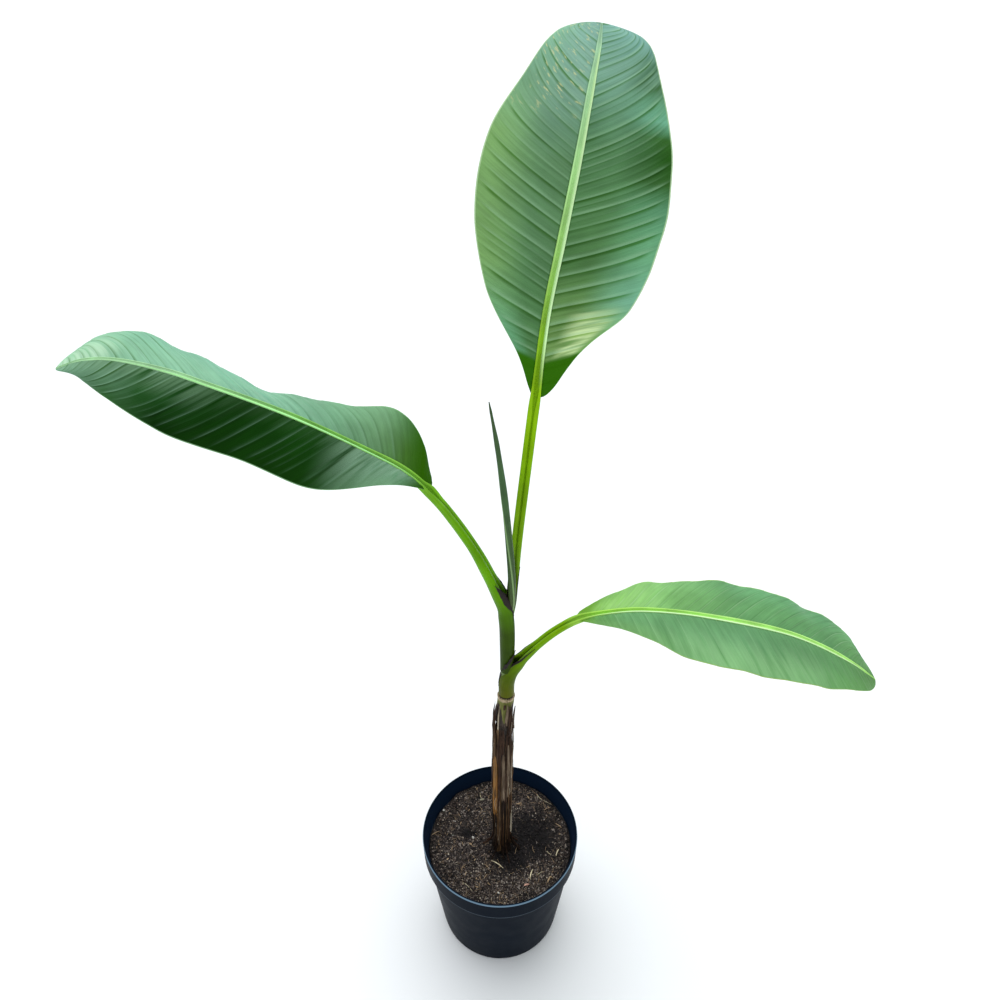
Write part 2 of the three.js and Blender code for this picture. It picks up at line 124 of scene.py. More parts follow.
TOP_LIFT = [20, 14, 6, 5, 5, 5, 5, 3, 0]
TOP = {
    "axis": [
        (8.9, 0.6, 634.3), (11.6, 2.4, 650), (13.4, 5, 668), (18.4, 11, 740), (26.2, 22, 822),
        (34, 35, 896.9), (42.8, 50, 977.7), (55.6, 66, 1046.2), (67.5, 84, 1108.1), (77.3, 104, 1162.6),
        (83.4, 120, 1192), (86, 134, 1207),
    ],
    "facing": (0, -1, 0.15),
    "blade": 334,
    "profile": [
        (0, 6.4, 0.78, 150), (20, 6.3, 0.72, 130), (45, 5.9, 0.6, 116), (90, 5.7, 0.14, 97),
        (270, 5.6, 0.12, 94),
    ],
    "rib": [
        (0, 4.8), (0.15, 4.1), (0.3, 4), (0.45, 4.1), (0.6, 3.8), (0.8, 3.3), (0.93, 2.3), (1, 0.9),
    ],
    "plus": {"width": [0, 15, 35, 75, 87.5, 82, 61, 42, 0], "lift": TOP_LIFT,
             "lean": [(0, 62), (0.5, 59), (0.7, 52), (0.85, 42), (1, 32)]},
    "minus": {"width": [0, 8, 24, 61, 82.5, 81, 56, 34, 0], "lift": TOP_LIFT,
              "lean": [(0, 62), (0.5, 60), (0.85, 52), (1, 42)]},
    "pleats": 26,
    "crowding": (1.35, 0.85),
    "margin_side": "minus",
    "margins": [(4, 0.6), (22, 2.6), (46, 2.2), (70, 0.4)],
}
LEAVES = {"left": LEFT, "right": RIGHT, "top": TOP}
SIGN = {"plus": 1, "minus": -1}
CURL = math.radians(14)
PLEAT_STEPS = (0, 0.1, 0.24, 0.4, 0.56, 0.72, 0.86)
PLEAT_DEPTH = 0.8
BLADE_COLUMNS = 34
BLADE_THICKNESS = 0.9
FOOT_SINK = 4
RIPPLES = [(1.6, 88), (0.9, 47)]

# The flap on the stem's front: direction, height and half breadth.
FLAP = [(-40, 552, 0.7), (-10, 560, 4.6), (30, 571, 4), (72, 581, 0.8)]
FLAP_RADIUS = 9.6

SPEAR = {
    "axis": [
        (8.7, -1, 634.3), (12, -2.5, 650), (13, -4, 672), (11.3, -4, 718), (5, -3, 799),
        (-1.9, -2, 861), (-10.2, 0, 915.2),
    ],
    "facing": (0, -1, 0),
    "radius": [
        (0, 3.7), (16, 4.1), (40, 4.5), (85, 4.4), (165, 3.9), (230, 2.7), (270, 1.4), (285, 0.5),
    ],
    "turn": 200,
}

# Dry sheaths: direction, half angle, foot, tip and colour.
DARK, BROWN, ORANGE, GREY, PALE, WET = range(6)
DRY_SHEATHS = [(-98, 31, 174, 462, BROWN), (-32, 29, 172, 438, BROWN), (38, 33, 177, 458, DARK),
               (108, 31, 173, 447, BROWN), (178, 33, 175, 484, GREY)]

# Strips that show in front: the same, and how far they stand out.
# The pale strips at 57 and -33 degrees are partly pale fibre and partly painted highlight.
FRONT_STRIPS = [
    (-46, 16, 254, 392, ORANGE, 0.9), (-56, 11, 340, 466, BROWN, 0.6), (-78, 11, 262, 486, DARK, 0.9),
    (-18, 7, 210, 430, DARK, 0.5), (4, 9, 292, 402, GREY, 0.9), (20, 5, 190, 446, DARK, 0.6),
    (31, 7, 300, 420, GREY, 1.1), (46, 7, 186, 474, DARK, 0.8), (62, 6, 205, 412, BROWN, 1.0),
    (-4, 10, 396, 452, DARK, 0.9), (38, 10, 430, 492, DARK, 0.5), (16, 5, 452, 496, GREY, 0.6),
    (60, 9, 440, 488, DARK, 0.9), (-36, 8, 176, 330, BROWN, 0.8), (-8, 6, 180, 300, BROWN, 0.9),
    (57, 4, 212, 262, PALE, 2.0), (12, 2, 316, 400, GREY, 1.5), (-66, 9, 176, 290, WET, 1.0),
    (-22, 6, 174, 284, BROWN, 1.2), (8, 10, 172, 300, WET, 1.2), (30, 8, 172, 276, WET, 1.3),
    (-40, 7, 172, 268, WET, 1.1), (46, 6, 172, 236, WET, 1.2), (-6, 6, 483, 499, DARK, 0.5),
    (12, 5, 458, 499, GREY, 0.9), (-33, 3, 444, 490, PALE, 0.8), (-30, 7, 402, 458, BROWN, 0.5),
    (26, 4, 440, 494, DARK, 0.9), (-16, 5, 410, 452, DARK, 0.7), (-60, 8, 420, 490, DARK, 0.5),
    (18, 6, 186, 292, WET, 1.5), (44, 5, 190, 300, DARK, 1.4), (-2, 5, 190, 262, DARK, 1.4),
    (2, 7, 300, 392, GREY, 1.4), (-30, 6, 372, 430, DARK, 0.9), (52, 6, 306, 392, GREY, 1.3),
    (-14, 2, 190, 300, GREY, 1.9), (6, 2, 184, 276, BROWN, 2.0), (22, 2, 196, 290, BROWN, 2.0),
    (34, 2, 200, 330, BROWN, 2.1),
]

# Wet places on the soil (middle and radius), and the straws, chips and white beads that stand
# out (middle, length, direction, thickness and colour).
DAMP = [(45, 10, 50), (14, -18, 38), (-46, 14, 13), (2, 4, 26)]
STRAW_DARK, STRAW_BROWN, STRAW_TAN, STRAW_PALE, CHIP_GREY, CHIP_PINK = range(6)
STRAWS = [
    (-4, -34, 21, -34, 0.7, STRAW_PALE), (-94, 14, 13, 30, 0.6, STRAW_TAN),
    (-45, -68, 20, -45, 0.35, STRAW_PALE), (44, -50, 14, 74, 0.9, STRAW_PALE),
    (56, -49, 9, 34, 0.4, STRAW_PALE), (69, -57, 11, 60, 1.2, STRAW_TAN),
    (82, -18, 11, 66, 0.8, STRAW_PALE), (86, 25, 12, -42, 0.6, STRAW_TAN),
    (-27, 66, 7, 10, 1.8, CHIP_GREY), (37, -66, 7, 15, 1.7, CHIP_PINK), (12, 40, 9, 80, 0.4, STRAW_TAN),
    (70, 52, 10, 25, 0.5, STRAW_TAN), (-20, -52, 9, 60, 0.4, STRAW_TAN),
    (-60, 44, 9, 120, 0.4, STRAW_TAN),
]
WHITE_BITS = [(-39, 7), (-84, 51), (-2, -75)]
WHITE_SIZES = (4.2, 4.8)

# How many there are of each small thing, and what it measures.
BACK_STRIPS = 26
THREADS = 70
ROOT_STRANDS = 13
CRUMBS = {"large": (2300, (1.5, 4.6)), "small": (4200, (0.8, 2.6)), "beads": (16, (1.2, 2.4))}
FIBRES = {"short": (900, (3, 10), (0.12, 0.3)), "long": (12, (8, 15), (0.25, 0.45))}
CHIPS = 320

# The view and the light. The sun's azimuth is measured from behind the plant.
CAMERA = {"place": (0, -0.706, 1.3529), "looks_down": 38.09, "lens": 32, "sensor": 36}
SUN = {"energy": 1.9, "colour": (0.97, 0.99, 1.0), "spread": 75, "elevation": 58, "azimuth": -12}
SKY = {"colour": (0.93, 0.97, 1.0, 1.0), "strength": 0.8}

# ---------------- colours

BARK_COLOURS = {
    "dark": [(24, 13, 8), (52, 34, 24), (80, 60, 44)],
    "brown": [(32, 20, 10), (80, 58, 36), (128, 104, 76)],
    "orange": [(80, 48, 16), (126, 86, 40), (154, 120, 74)],
    "grey": [(50, 38, 30), (100, 84, 68), (144, 128, 108)],
    "pale": [(146, 132, 108), (192, 180, 156), (218, 210, 194)],
    "wet": [(12, 8, 6), (28, 19, 14), (56, 42, 34)],
}
SOIL_TONES = [(10, 8, 8), (38, 32, 30), (96, 86, 80)]
CRUMB_COLOURS = {
    "dark": [(8, 7, 9), (23, 19, 20), (56, 50, 50)],
    "brown": [(36, 28, 24), (74, 62, 56), (116, 102, 94)],
    "grey": [(84, 74, 68), (122, 112, 105), (156, 146, 138)],
    "light": [(124, 110, 96), (166, 152, 136), (200, 188, 172)],
}
STRAW_COLOURS = {
    "straw_dark": (34, 27, 24), "straw_brown": (104, 88, 74), "straw_tan": (168, 142, 112),
    "straw_pale": (218, 204, 170), "chip_grey": (136, 130, 112), "chip_pink": (206, 158, 140),
}

# A ramp's rows are a share and a colour. Along a stalk 0.5 is the foot of its blade.
STALK_RAMPS = {
    "left": [
        (0, 44, 64, 0), (0.12, 48, 72, 0), (0.2, 78, 124, 2), (0.28, 98, 158, 0), (0.4, 96, 154, 0),
        (0.5, 112, 172, 30), (0.56, 136, 196, 76), (0.7, 136, 196, 100), (0.86, 170, 215, 165),
        (1, 176, 224, 170),
    ],
    "right": [
        (0, 80, 84, 0), (0.12, 74, 94, 0), (0.3, 106, 152, 0), (0.46, 116, 162, 4),
        (0.56, 168, 220, 96), (0.7, 182, 236, 130), (1, 184, 236, 134),
    ],
    "top": [
        (0, 120, 160, 50), (0.2, 116, 160, 14), (0.42, 128, 176, 0), (0.52, 144, 190, 20),
        (0.6, 146, 194, 48), (0.72, 166, 214, 120), (0.84, 182, 228, 158), (1, 188, 230, 194),
    ],
}

# The painted highlight, a bright line along one side of each midrib: its side, where it starts across,
# where it ends, its colour.
RIB_HIGHLIGHTS = {
    "left": (-1, 0.75, 1.6, (176, 246, 160)),
    "right": (1, 0.7, 1.9, (212, 250, 186)),
    "top": (1, 0.25, 1.9, (212, 248, 184)),
}

# Painted shade and painted highlight across a pleat, from its shaded edge on: shares and grey
# levels. The thin ones also draw pale veins.
BROAD_PLEAT_SHADING = [(0, 0.86), (0.05, 1.0), (0.2, 0.7), (0.45, 0.52), (0.72, 0.36), (0.9, 0.06),
               (0.96, 0.0), (1, 0.6)]
THIN_VEINS_AND_SHADING = [(0, 0.5), (0.03, 1.0), (0.12, 0.62), (0.5, 0.5), (0.9, 0.36), (0.97, 0.24), (1, 0.45)]

# Blades: ramps from foot to tip beside the midrib and at the rim of both halves, the pleats'
# contrast on the minus and plus half, and smears of painted sheen. The ramps hold painted shade
# and painted highlights, such as the dark minus half of the left leaf. A smear of sheen has its
# half, its middle and half length along the blade, the shares from the midrib between which it
# rises and falls, how broken it is, its strength and its colour. Shade and sheen colour the
# pleats' painted shade and painted highlight.
EVERYWHERE = (-0.2, -0.1)
SOFT = (0.3, 0.58)
BLADE_TINTS = {
    "top": {
        "gloss": 0.05, "contrast": (0.9, 1.15), "tip_contrast": 1.0, "tooth": BROAD_PLEAT_SHADING,
        "shade": (166, 194, 138), "sheen_share": 0.36, "sheen": (164, 208, 164), "foot": (2.35, 2.85),
        "base": (48, 106, 0), "margin": (196, 226, 174), "under": (122, 158, 112),
        "flecks": (222, 222, 160),
        "plus": [
            (0, 50, 104, 2), (0.15, 112, 148, 82), (0.4, 80, 124, 70), (0.7, 88, 134, 88),
            (0.9, 120, 164, 142), (1, 136, 190, 176),
        ],
        "minus": [
            (0, 50, 104, 2), (0.14, 74, 120, 68), (0.4, 88, 131, 85), (0.65, 100, 142, 98),
            (0.85, 130, 176, 150), (1, 150, 196, 180),
        ],
        "plus_rim": [
            (0, 90, 150, 50), (0.2, 128, 176, 96), (0.33, 124, 184, 150), (0.46, 110, 172, 126),
            (0.58, 100, 160, 116), (0.64, 56, 104, 44), (0.7, 40, 92, 22), (0.745, 60, 112, 44),
            (0.785, 120, 186, 150), (0.82, 100, 160, 120), (0.86, 66, 108, 62), (0.92, 84, 130, 96),
            (0.96, 132, 186, 176), (1, 150, 205, 200),
        ],
        "minus_rim": [
            (0, 54, 108, 4), (0.12, 96, 156, 112), (0.22, 106, 164, 118), (0.38, 130, 176, 104),
            (0.7, 128, 172, 104), (0.86, 128, 176, 140), (1, 146, 196, 166),
        ],
        "painted_sheen": [("plus", 0.19, 0.14, (0.2, 0.6), (0.78, 0.97), (0.31, 0.55), 0.95, (218, 242, 176)),
                   ("plus", 0.93, 0.14, EVERYWHERE, (0.9, 1.3), SOFT, 0.3, (160, 208, 182)),
                   ("minus", 0.86, 0.14, EVERYWHERE, (0.2, 1.2), SOFT, 0.3, (164, 200, 180))],
    },
    "left": {
        "gloss": 0.03, "contrast": (0.42, 0.42), "tip_contrast": 1.9, "tooth": BROAD_PLEAT_SHADING,
        "shade": (136, 168, 116), "sheen_share": 0.34, "sheen": (150, 190, 165), "foot": (0.45, 3.2),
        "base": (44, 92, 0), "margin": (140, 186, 130), "under": (110, 150, 104),
        "plus": [
            (0, 44, 92, 0), (0.12, 70, 112, 44), (0.2, 96, 136, 94), (0.5, 106, 160, 132),
            (0.8, 130, 180, 146), (1, 136, 188, 146),
        ],
        # The dark stops of this minus half and of its rim are painted shade.
        "minus": [
            (0, 90, 146, 116), (0.12, 88, 138, 100), (0.26, 20, 64, 12), (0.6, 12, 54, 4),
            (0.78, 36, 84, 34), (0.87, 104, 146, 112), (1, 140, 184, 150),
        ],
        "plus_rim": [
            (0, 44, 94, 0), (0.08, 50, 100, 6), (0.2, 110, 154, 112), (0.6, 120, 174, 146),
            (0.85, 128, 180, 150), (1, 152, 200, 160),
        ],
        "minus_rim": [
            (0, 120, 168, 138), (0.14, 112, 156, 116), (0.3, 18, 60, 6), (0.72, 8, 42, 2),
            (0.86, 52, 96, 50), (1, 136, 184, 150),
        ],
        "painted_sheen": [("minus", 0.8, 0.26, EVERYWHERE, (0.02, 0.6), SOFT, 0.6, (126, 164, 128)),
                   ("minus", 0.15, 0.2, EVERYWHERE, (0.1, 1.3), SOFT, 0.8, (136, 172, 142)),
                   ("minus", 0.5, 0.4, EVERYWHERE, (0.0, 0.4), SOFT, 0.12, (96, 136, 92)),
                   ("plus", 0.95, 0.12, EVERYWHERE, (0.1, 1.2), SOFT, 0.7, (194, 226, 194)),
                   ("plus", 0.55, 0.3, EVERYWHERE, (0.2, 1.2), SOFT, 0.3, (160, 208, 170))],
    },
    "right": {
        "gloss": 0.06, "contrast": (0.75, 0.6), "tip_contrast": 1.0, "tooth": THIN_VEINS_AND_SHADING,
        "shade": (186, 212, 176), "sheen_share": 0.36, "sheen": (176, 218, 166), "foot": (0.2, 2.2),
        "base": (100, 150, 40), "margin": (168, 204, 112), "under": (120, 160, 112),
        "plus": [
            (0, 96, 150, 60), (0.15, 100, 152, 98), (0.5, 96, 146, 98), (0.8, 88, 136, 84),
            (1, 82, 132, 66),
        ],
        "minus": [
            (0, 96, 140, 20), (0.1, 122, 176, 80), (0.25, 116, 170, 96), (0.5, 98, 150, 94),
            (0.8, 90, 142, 88), (1, 90, 142, 76),
        ],
        "plus_rim": [(0, 116, 164, 96), (0.3, 110, 164, 102), (0.7, 104, 158, 96), (1, 96, 148, 80)],
        "minus_rim": [
            (0, 80, 130, 30), (0.2, 130, 182, 104), (0.5, 102, 158, 106), (0.8, 96, 154, 104),
            (1, 106, 160, 100),
        ],
        "painted_sheen": [("minus", 0.16, 0.14, EVERYWHERE, (0.0, 1.2), SOFT, 0.35, (174, 218, 144)),
                   ("plus", 0.5, 0.4, (0.1, 0.8), (1.2, 1.3), SOFT, 0.3, (164, 210, 154))],
    },
}

# ---------------- curves and tables


def smooth(x, low, high):
    """0 below low, 1 above high, eased between them."""
    share = np.clip((x - low) / (high - low), 0, 1)
    return share * share * (3 - 2 * share)


def lerp(a, b, share):
    return a + (b - a) * share


def lookup(rows, x, column=1):
    """Value at x of a table of (x, value, ...) rows, smoothly joined."""
    table = np.array(rows, float)
    x = np.asarray(x, float)
    k = np.clip(np.searchsorted(table[:, 0], x, side="right") - 1, 0, len(table) - 2)
    share = smooth(x, table[k, 0], table[k + 1, 0])
    return lerp(table[k, column], table[k + 1, column], share)


def spline(values, step):
    """Catmull-Rom curve through the rows of values, at step in 0..len - 1."""
    values = np.asarray(values, float)
    padded = np.concatenate([2 * values[:1] - values[1:2], values, 2 * values[-1:] - values[-2:-1]])
    k = np.clip(np.floor(step).astype(int), 0, len(values) - 2)
    t = step - k
    if values.ndim > 1:
        t = t[..., None]
    a, b, c, d = (padded[k + i] for i in range(4))
    bend = (2 * a - 5 * b + 4 * c - d) * t + (3 * b - a - 3 * c + d) * t * t
    return 0.5 * (2 * b + (c - a) * t + bend * t)


def rounded(values, x):
    """Value at x in 0..1 on a curve whose knots crowd towards both ends, as on a half circle."""
    step = np.arccos(np.clip(1 - 2 * np.asarray(x, float), -1, 1)) / math.pi
    return spline(values, step * (len(values) - 1))


def unit(vectors):
    return vectors / np.linalg.norm(vectors, axis=-1, keepdims=True)


def grid(*columns):
    """Arrays that broadcast together, side by side as the columns of points."""
    return np.stack(np.broadcast_arrays(*columns), -1)


def polar(radius, angle, z):
    """Points round the upright axis."""
    return grid(radius * np.cos(angle), radius * np.sin(angle), z)


class Axis:
    """A smooth curve with a frame at each length: place, up and sideways."""

    def __init__(self, points, facing):
        steps = np.linspace(0, len(points) - 1, 150 * (len(points) - 1) + 1)
        self.points = spline(points, steps)
        runs = np.linalg.norm(np.diff(self.points, axis=0), axis=1)
        self.lengths = np.concatenate([[0], np.cumsum(runs)])
        self.tangents = np.gradient(self.points, self.lengths, axis=0)
        self.length = self.lengths[-1]
        self.facing = np.array(facing, float)

    def frame(self, length):
        place, along = (np.stack([np.interp(length, self.lengths, column) for column in rows.T], -1)
                        for rows in (self.points, self.tangents))
        along = unit(along)
        up = unit(self.facing - along * (along @ self.facing)[..., None])
        return place, up, np.cross(along, up)

    def ring(self, length, angle, radius):
        """Points round the axis: angle 0 faces up, and a right angle faces sideways."""
        place, up, sideways = self.frame(length)
        angle = np.asarray(angle)[..., None]
        return place + np.asarray(radius)[..., None] * (np.sin(angle) * sideways + np.cos(angle) * up)


STEM_FOOT, STEM_TOP = STEM["axis"][0][2], STEM["axis"][-1][2]
STEM_AXIS = Axis(STEM["axis"], STEM["facing"])


def grain(points, scale, seed=0.0):
    """Smooth noise in -1..1 at each point, for grains of about scale across."""
    flat = np.asarray(points, float).reshape(-1, 3) / scale + seed
    return np.array([noise.noise(Vector(p)) for p in flat]).reshape(np.shape(points)[:-1])


def jagged(values, scale, seed):
    """Noise in 0..1 along a row of values."""
    return np.abs(grain(grid(values, 0, 0), scale, seed))


# ---------------- meshes


def placed(name, data):
    """A new object in the scene."""
    thing = bpy.data.objects.new(name, data)
    bpy.context.scene.collection.objects.link(thing)
    return thing


class Heap:
    """Gathers closed bodies into one mesh, each with its material slot and marks."""

    def __init__(self):
        self.points = []
        self.faces = []
        self.slots = []
        self.marks = []
        self.count = 0

    def add(self, points, faces, slot=0, marks=None):
        """Adds one body. Faces are an array of equal rows, or a list of arrays."""
        points = np.asarray(points, float).reshape(-1, 3)
        groups = faces if isinstance(faces, list) else [faces]
        turned = volume(points, groups) < 0
        for group in groups:
            rows = (group[:, ::-1] if turned else group) + self.count
            self.faces.extend(rows.tolist())
            self.slots.extend([slot] * len(rows))
        self.points.append(points)
        self.marks.append(np.zeros((len(points), 6)) if marks is None else marks.reshape(-1, 6))
        self.count += len(points)

    def shell(self, layers, slot=0, marks=None):
        """Adds the closed shell between two grids of points."""
        self.add(np.stack(layers), shell_faces(*layers[0].shape[:2]), slot, marks)

    def limb(self, rings, slot=0, marks=None):
        """Adds the closed limb through rings of points."""
        self.add(rings, limb_faces(*rings.shape[:2]), slot, marks)

    def mesh(self, name):
        mesh = bpy.data.meshes.new(name)
        mesh.from_pydata((np.concatenate(self.points) * MM).tolist(), [], self.faces)
        return mesh

    def piece(self, name, looks, slot, replaced=(), sharp=None):
        """The mesh as a Blender object that rides on the plant's body."""
        mesh = self.mesh(name)
        for look in looks:
            mesh.materials.append(look)
        mesh.polygons.foreach_set("material_index", self.slots)
        mesh.polygons.foreach_set("use_smooth", [True] * len(mesh.polygons))
        if sharp:
            mesh.set_sharp_from_angle(angle=math.radians(sharp))
        marks = np.concatenate(self.marks)
        if marks.any():
            for column, label in ((0, "veins"), (3, "spot")):
                layer = mesh.attributes.new(label, "FLOAT_VECTOR", "POINT")
                layer.data.foreach_set("vector", marks[:, column:column + 3].ravel())
        mesh.update()
        piece = placed(name, mesh)
        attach(piece, BODY)
        if replaced:
            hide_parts(*replaced)
        return piece


def marked(shape, *values):
    """The marks of a grid of points: three numbers for "veins", then three for "spot"."""
    columns = [np.broadcast_to(value, shape) for value in values]
    return np.stack(columns + [np.zeros(shape)] * (6 - len(columns)), -1)


def volume(points, groups):
    """Six times the volume inside the faces; negative where they point in."""
    total = 0.0
    for rows in groups:
        for k in range(1, rows.shape[1] - 1):
            a, b, c = points[rows[:, 0]], points[rows[:, k]], points[rows[:, k + 1]]
            total += np.einsum("ij,ij->", a, np.cross(b, c))
    return total


def shell_faces(rows, columns):
    """Quads of a closed shell: two grids of points, one after the other, joined round the rim."""
    index = np.arange(rows * columns).reshape(rows, columns)
    corners = [index[:-1, :-1], index[:-1, 1:], index[1:, 1:], index[1:, :-1]]
    upper = np.stack(corners, -1).reshape(-1, 4)
    rim = np.concatenate([index[0], index[1:, -1], index[-1, -2::-1], index[-2:0:-1, 0]])
    after = np.roll(rim, -1)
    side = np.stack([after, rim, rim + index.size, after + index.size], -1)
    return np.concatenate([upper, upper[:, ::-1] + index.size, side])


def ring_faces(index):
    """Quads round closed rings of point numbers."""
    after = np.roll(index, -1, axis=1)
    return np.stack([index[:-1], after[:-1], after[1:], index[1:]], -1).reshape(-1, 4)


def limb_faces(rings, sides):
    """Faces of a closed limb: quads round the rings and one flat face over each end."""
    index = np.arange(rings * sides).reshape(rings, sides)
    return [ring_faces(index), index[:1, ::-1], index[-1:]]


def tube(points, radii, sides):
    """Rings of points round a path."""
    points = np.asarray(points, float)
    along = unit(np.gradient(points, axis=0))
    helper = np.array([0.0, 0.0, 1.0])
    if abs(along[0] @ helper) > 0.9:
        helper = np.array([1.0, 0.0, 0.0])
    first = unit(np.cross(along, helper))
    second = np.cross(along, first)
    turn = polar(1, np.linspace(0, 2 * math.pi, sides, endpoint=False), 0)[None]
    radii = np.broadcast_to(np.asarray(radii, float), (len(points),))[:, None, None]
    return points[:, None] + radii * (turn[..., :1] * first[:, None] + turn[..., 1:2] * second[:, None])


# ---------------- materials


def linear(tone):
    """The colour that a shader takes: from a screen colour, or from one linear grey level."""
    if len(tone) == 1:
        return (*tone * 3, 1.0)
    parts = np.array(tone) / 255
    return (*np.where(parts <= 0.04045, parts / 12.92, ((parts + 0.055) / 1.055) ** 2.4), 1.0)


class Signal:
    """A shader node's output, which adds, subtracts and multiplies like a number."""

    def __init__(self, look, socket):
        self.look = look
        self.socket = socket

    def __add__(self, other):
        return self.look.math("ADD", self, other)

    def __sub__(self, other):
        return self.look.math("SUBTRACT", self, other)

    def __rsub__(self, other):
        return self.look.math("SUBTRACT", other, self)

    def __mul__(self, other):
        return self.look.math("MULTIPLY", self, other)

    def __abs__(self):
        return self.look.math("ABSOLUTE", self)


class Look:
    """A material, with short ways to add nodes and join them."""

    def __init__(self, name, roughness, specular=0.5):
        self.material = bpy.data.materials.new(name)
        self.material.use_nodes = True
        self.tree = self.material.node_tree
        self.shader = self.tree.nodes["Principled BSDF"]
        self.shader.inputs["Roughness"].default_value = roughness
        self.shader.inputs["Specular IOR Level"].default_value = specular
        self.place = self.signal("TexCoord", "Object", {})

    def node(self, kind, inputs, **settings):
        node = self.tree.nodes.new("ShaderNode" + kind)
        for key, value in settings.items():
            setattr(node, key, value)
        for key, value in inputs.items():
            self.feed(node.inputs[key], value)
        return node

    def signal(self, kind, output, inputs, **settings):
        return Signal(self, self.node(kind, inputs, **settings).outputs[output])

    def feed(self, socket, value):
        """Joins a signal to a socket, or sets the socket to a number, a vector or a colour."""
        if isinstance(value, Signal):
            self.tree.links.new(value.socket, socket)
        else:
            socket.default_value = linear(value) if socket.type == "RGBA" else value

    def marks(self):
        """The six numbers that a mesh has at each point."""
        return [part for name in ("veins", "spot")
                for part in self.parts(self.signal("Attribute", "Vector", {}, attribute_name=name))]

    def parts(self, vector):
        node = self.node("SeparateXYZ", {"Vector": vector})
        return [Signal(self, node.outputs[label]) for label in "XYZ"]

    def math(self, operation, a, b=0.0):
        return self.signal("Math", 0, {0: a, 1: b}, operation=operation)

    def fade(self, value, low, high, start=0.0, end=1.0):
        """start where value is low, end where it is high, eased between."""
        inputs = {"Value": value, "From Min": low, "From Max": high, "To Min": start, "To Max": end}
        return self.signal("MapRange", "Result", inputs, interpolation_type="SMOOTHSTEP")

    def noise(self, vector, scale, detail=3.0, roughness=0.5):
        inputs = {"Vector": vector, "Scale": scale, "Detail": detail, "Roughness": roughness}
        return self.signal("TexNoise", "Fac", inputs)

    def streaks(self, x, y, z=0.0, detail=3.0, roughness=0.5):
        """Noise over two or three signals."""
        vector = self.signal("CombineXYZ", "Vector", {"X": x, "Y": y, "Z": z})
        return self.noise(vector, 1.0, detail, roughness)

    def fibres(self, across, along, detail, roughness=0.5):
        """Noise that is stretched along the upright axis, or squeezed."""
        inputs = {0: self.place, 1: (across, across, along)}
        vector = self.signal("VectorMath", "Vector", inputs, operation="MULTIPLY")
        return self.noise(vector, 1.0, detail, roughness)

    def chance(self, value):
        """A number in 0..1 that changes at each whole value."""
        whole = self.math("FLOOR", value)
        return self.signal("TexWhiteNoise", "Value", {"W": whole}, noise_dimensions="1D")

    def ramp(self, value, stops):
        """A colour along value: stops are a value and a colour or a grey level."""
        node = self.node("ValToRGB", {"Fac": value})
        elements = node.color_ramp.elements
        for stop in stops[1:-1]:
            elements.new(stop[0])
        for element, (position, *tone) in zip(elements, stops):
            element.position = position
            element.color = linear(tone)
        return Signal(self, node.outputs["Color"])

    def tones(self, value, places, colours):
        """A ramp through the colours at the places."""
        return self.ramp(value, [(place, *colour) for place, colour in zip(places, colours)])

    def mix(self, share, a, b, blend="MIX"):
        inputs = {"Factor": share, 6: a, 7: b}
        return self.signal("Mix", 2, inputs, data_type="RGBA", blend_type=blend)

    def brighter(self, colour, value):
        """The colour times value."""
        grey = self.signal("CombineColor", "Color", {"Red": value, "Green": value, "Blue": value})
        return self.mix(1.0, colour, grey, "MULTIPLY")

    def varied(self, colour, amount, scale):
        """The colour, lighter and darker by amount in patches of noise."""
        value = self.noise(self.place, scale, 4.0)
        return self.brighter(colour, self.fade(value, 0.25, 0.75, 1 - amount, 1 + amount))

    def finish(self, colour, height=None, depth=0.3, roughness=None):
        """Joins colour, relief (height times depth millimetres) and roughness to the shader."""
        self.feed(self.shader.inputs["Base Color"], colour)
        if roughness is not None:
            self.feed(self.shader.inputs["Roughness"], roughness)
        if height is not None:
            inputs = {"Height": height, "Distance": depth * MM, "Strength": 1.0}
            self.feed(self.shader.inputs["Normal"], self.signal("Bump", "Normal", inputs))
        return self.material


def plain_look(name, colour, roughness=0.75, amount=0.25, scale=300):
    look = Look(name, roughness, 0.3)
    return look.finish(look.varied(colour, amount, scale), look.noise(look.place, 1200), 0.15)


# ---------------- leaf blades


def leaf_axis(leaf):
    return Axis(leaf["axis"], leaf["facing"])


def half_width(leaf, side, x):
    return np.maximum(rounded(leaf[side]["width"], x), 0.5)


def blade_surface(leaf, axis, side, x, share):
    """Points on a blade half's upper face, and the normals there. x runs from the blade's foot
    to its tip, and share from the midrib to the margin."""
    width = half_width(leaf, side, x)
    first = np.radians(rounded(leaf[side]["lift"], x)) + CURL / 2
    angle = first - CURL * share
    across = SIGN[side] * width * (np.sin(first) - np.sin(angle)) / CURL
    rise = width * (np.cos(angle) - np.cos(first)) / CURL - FOOT_SINK * (1 - smooth(x, 0, 0.02))
    place, up, sideways = axis.frame(axis.length - leaf["blade"] * (1 - x))
    points = place + across[..., None] * sideways + rise[..., None] * up
    normals = np.cos(angle)[..., None] * up - SIGN[side] * np.sin(angle)[..., None] * sideways
    return points, normals


def pleat_profile(phase):
    """Height of a pleat in 0..1: a long gentle rise and a short drop."""
    drop = PLEAT_STEPS[1]
    rise = (phase - drop) / (1 - drop)
    return np.where(phase < drop, 1 - phase / drop, np.maximum(rise, 0) ** 1.15)


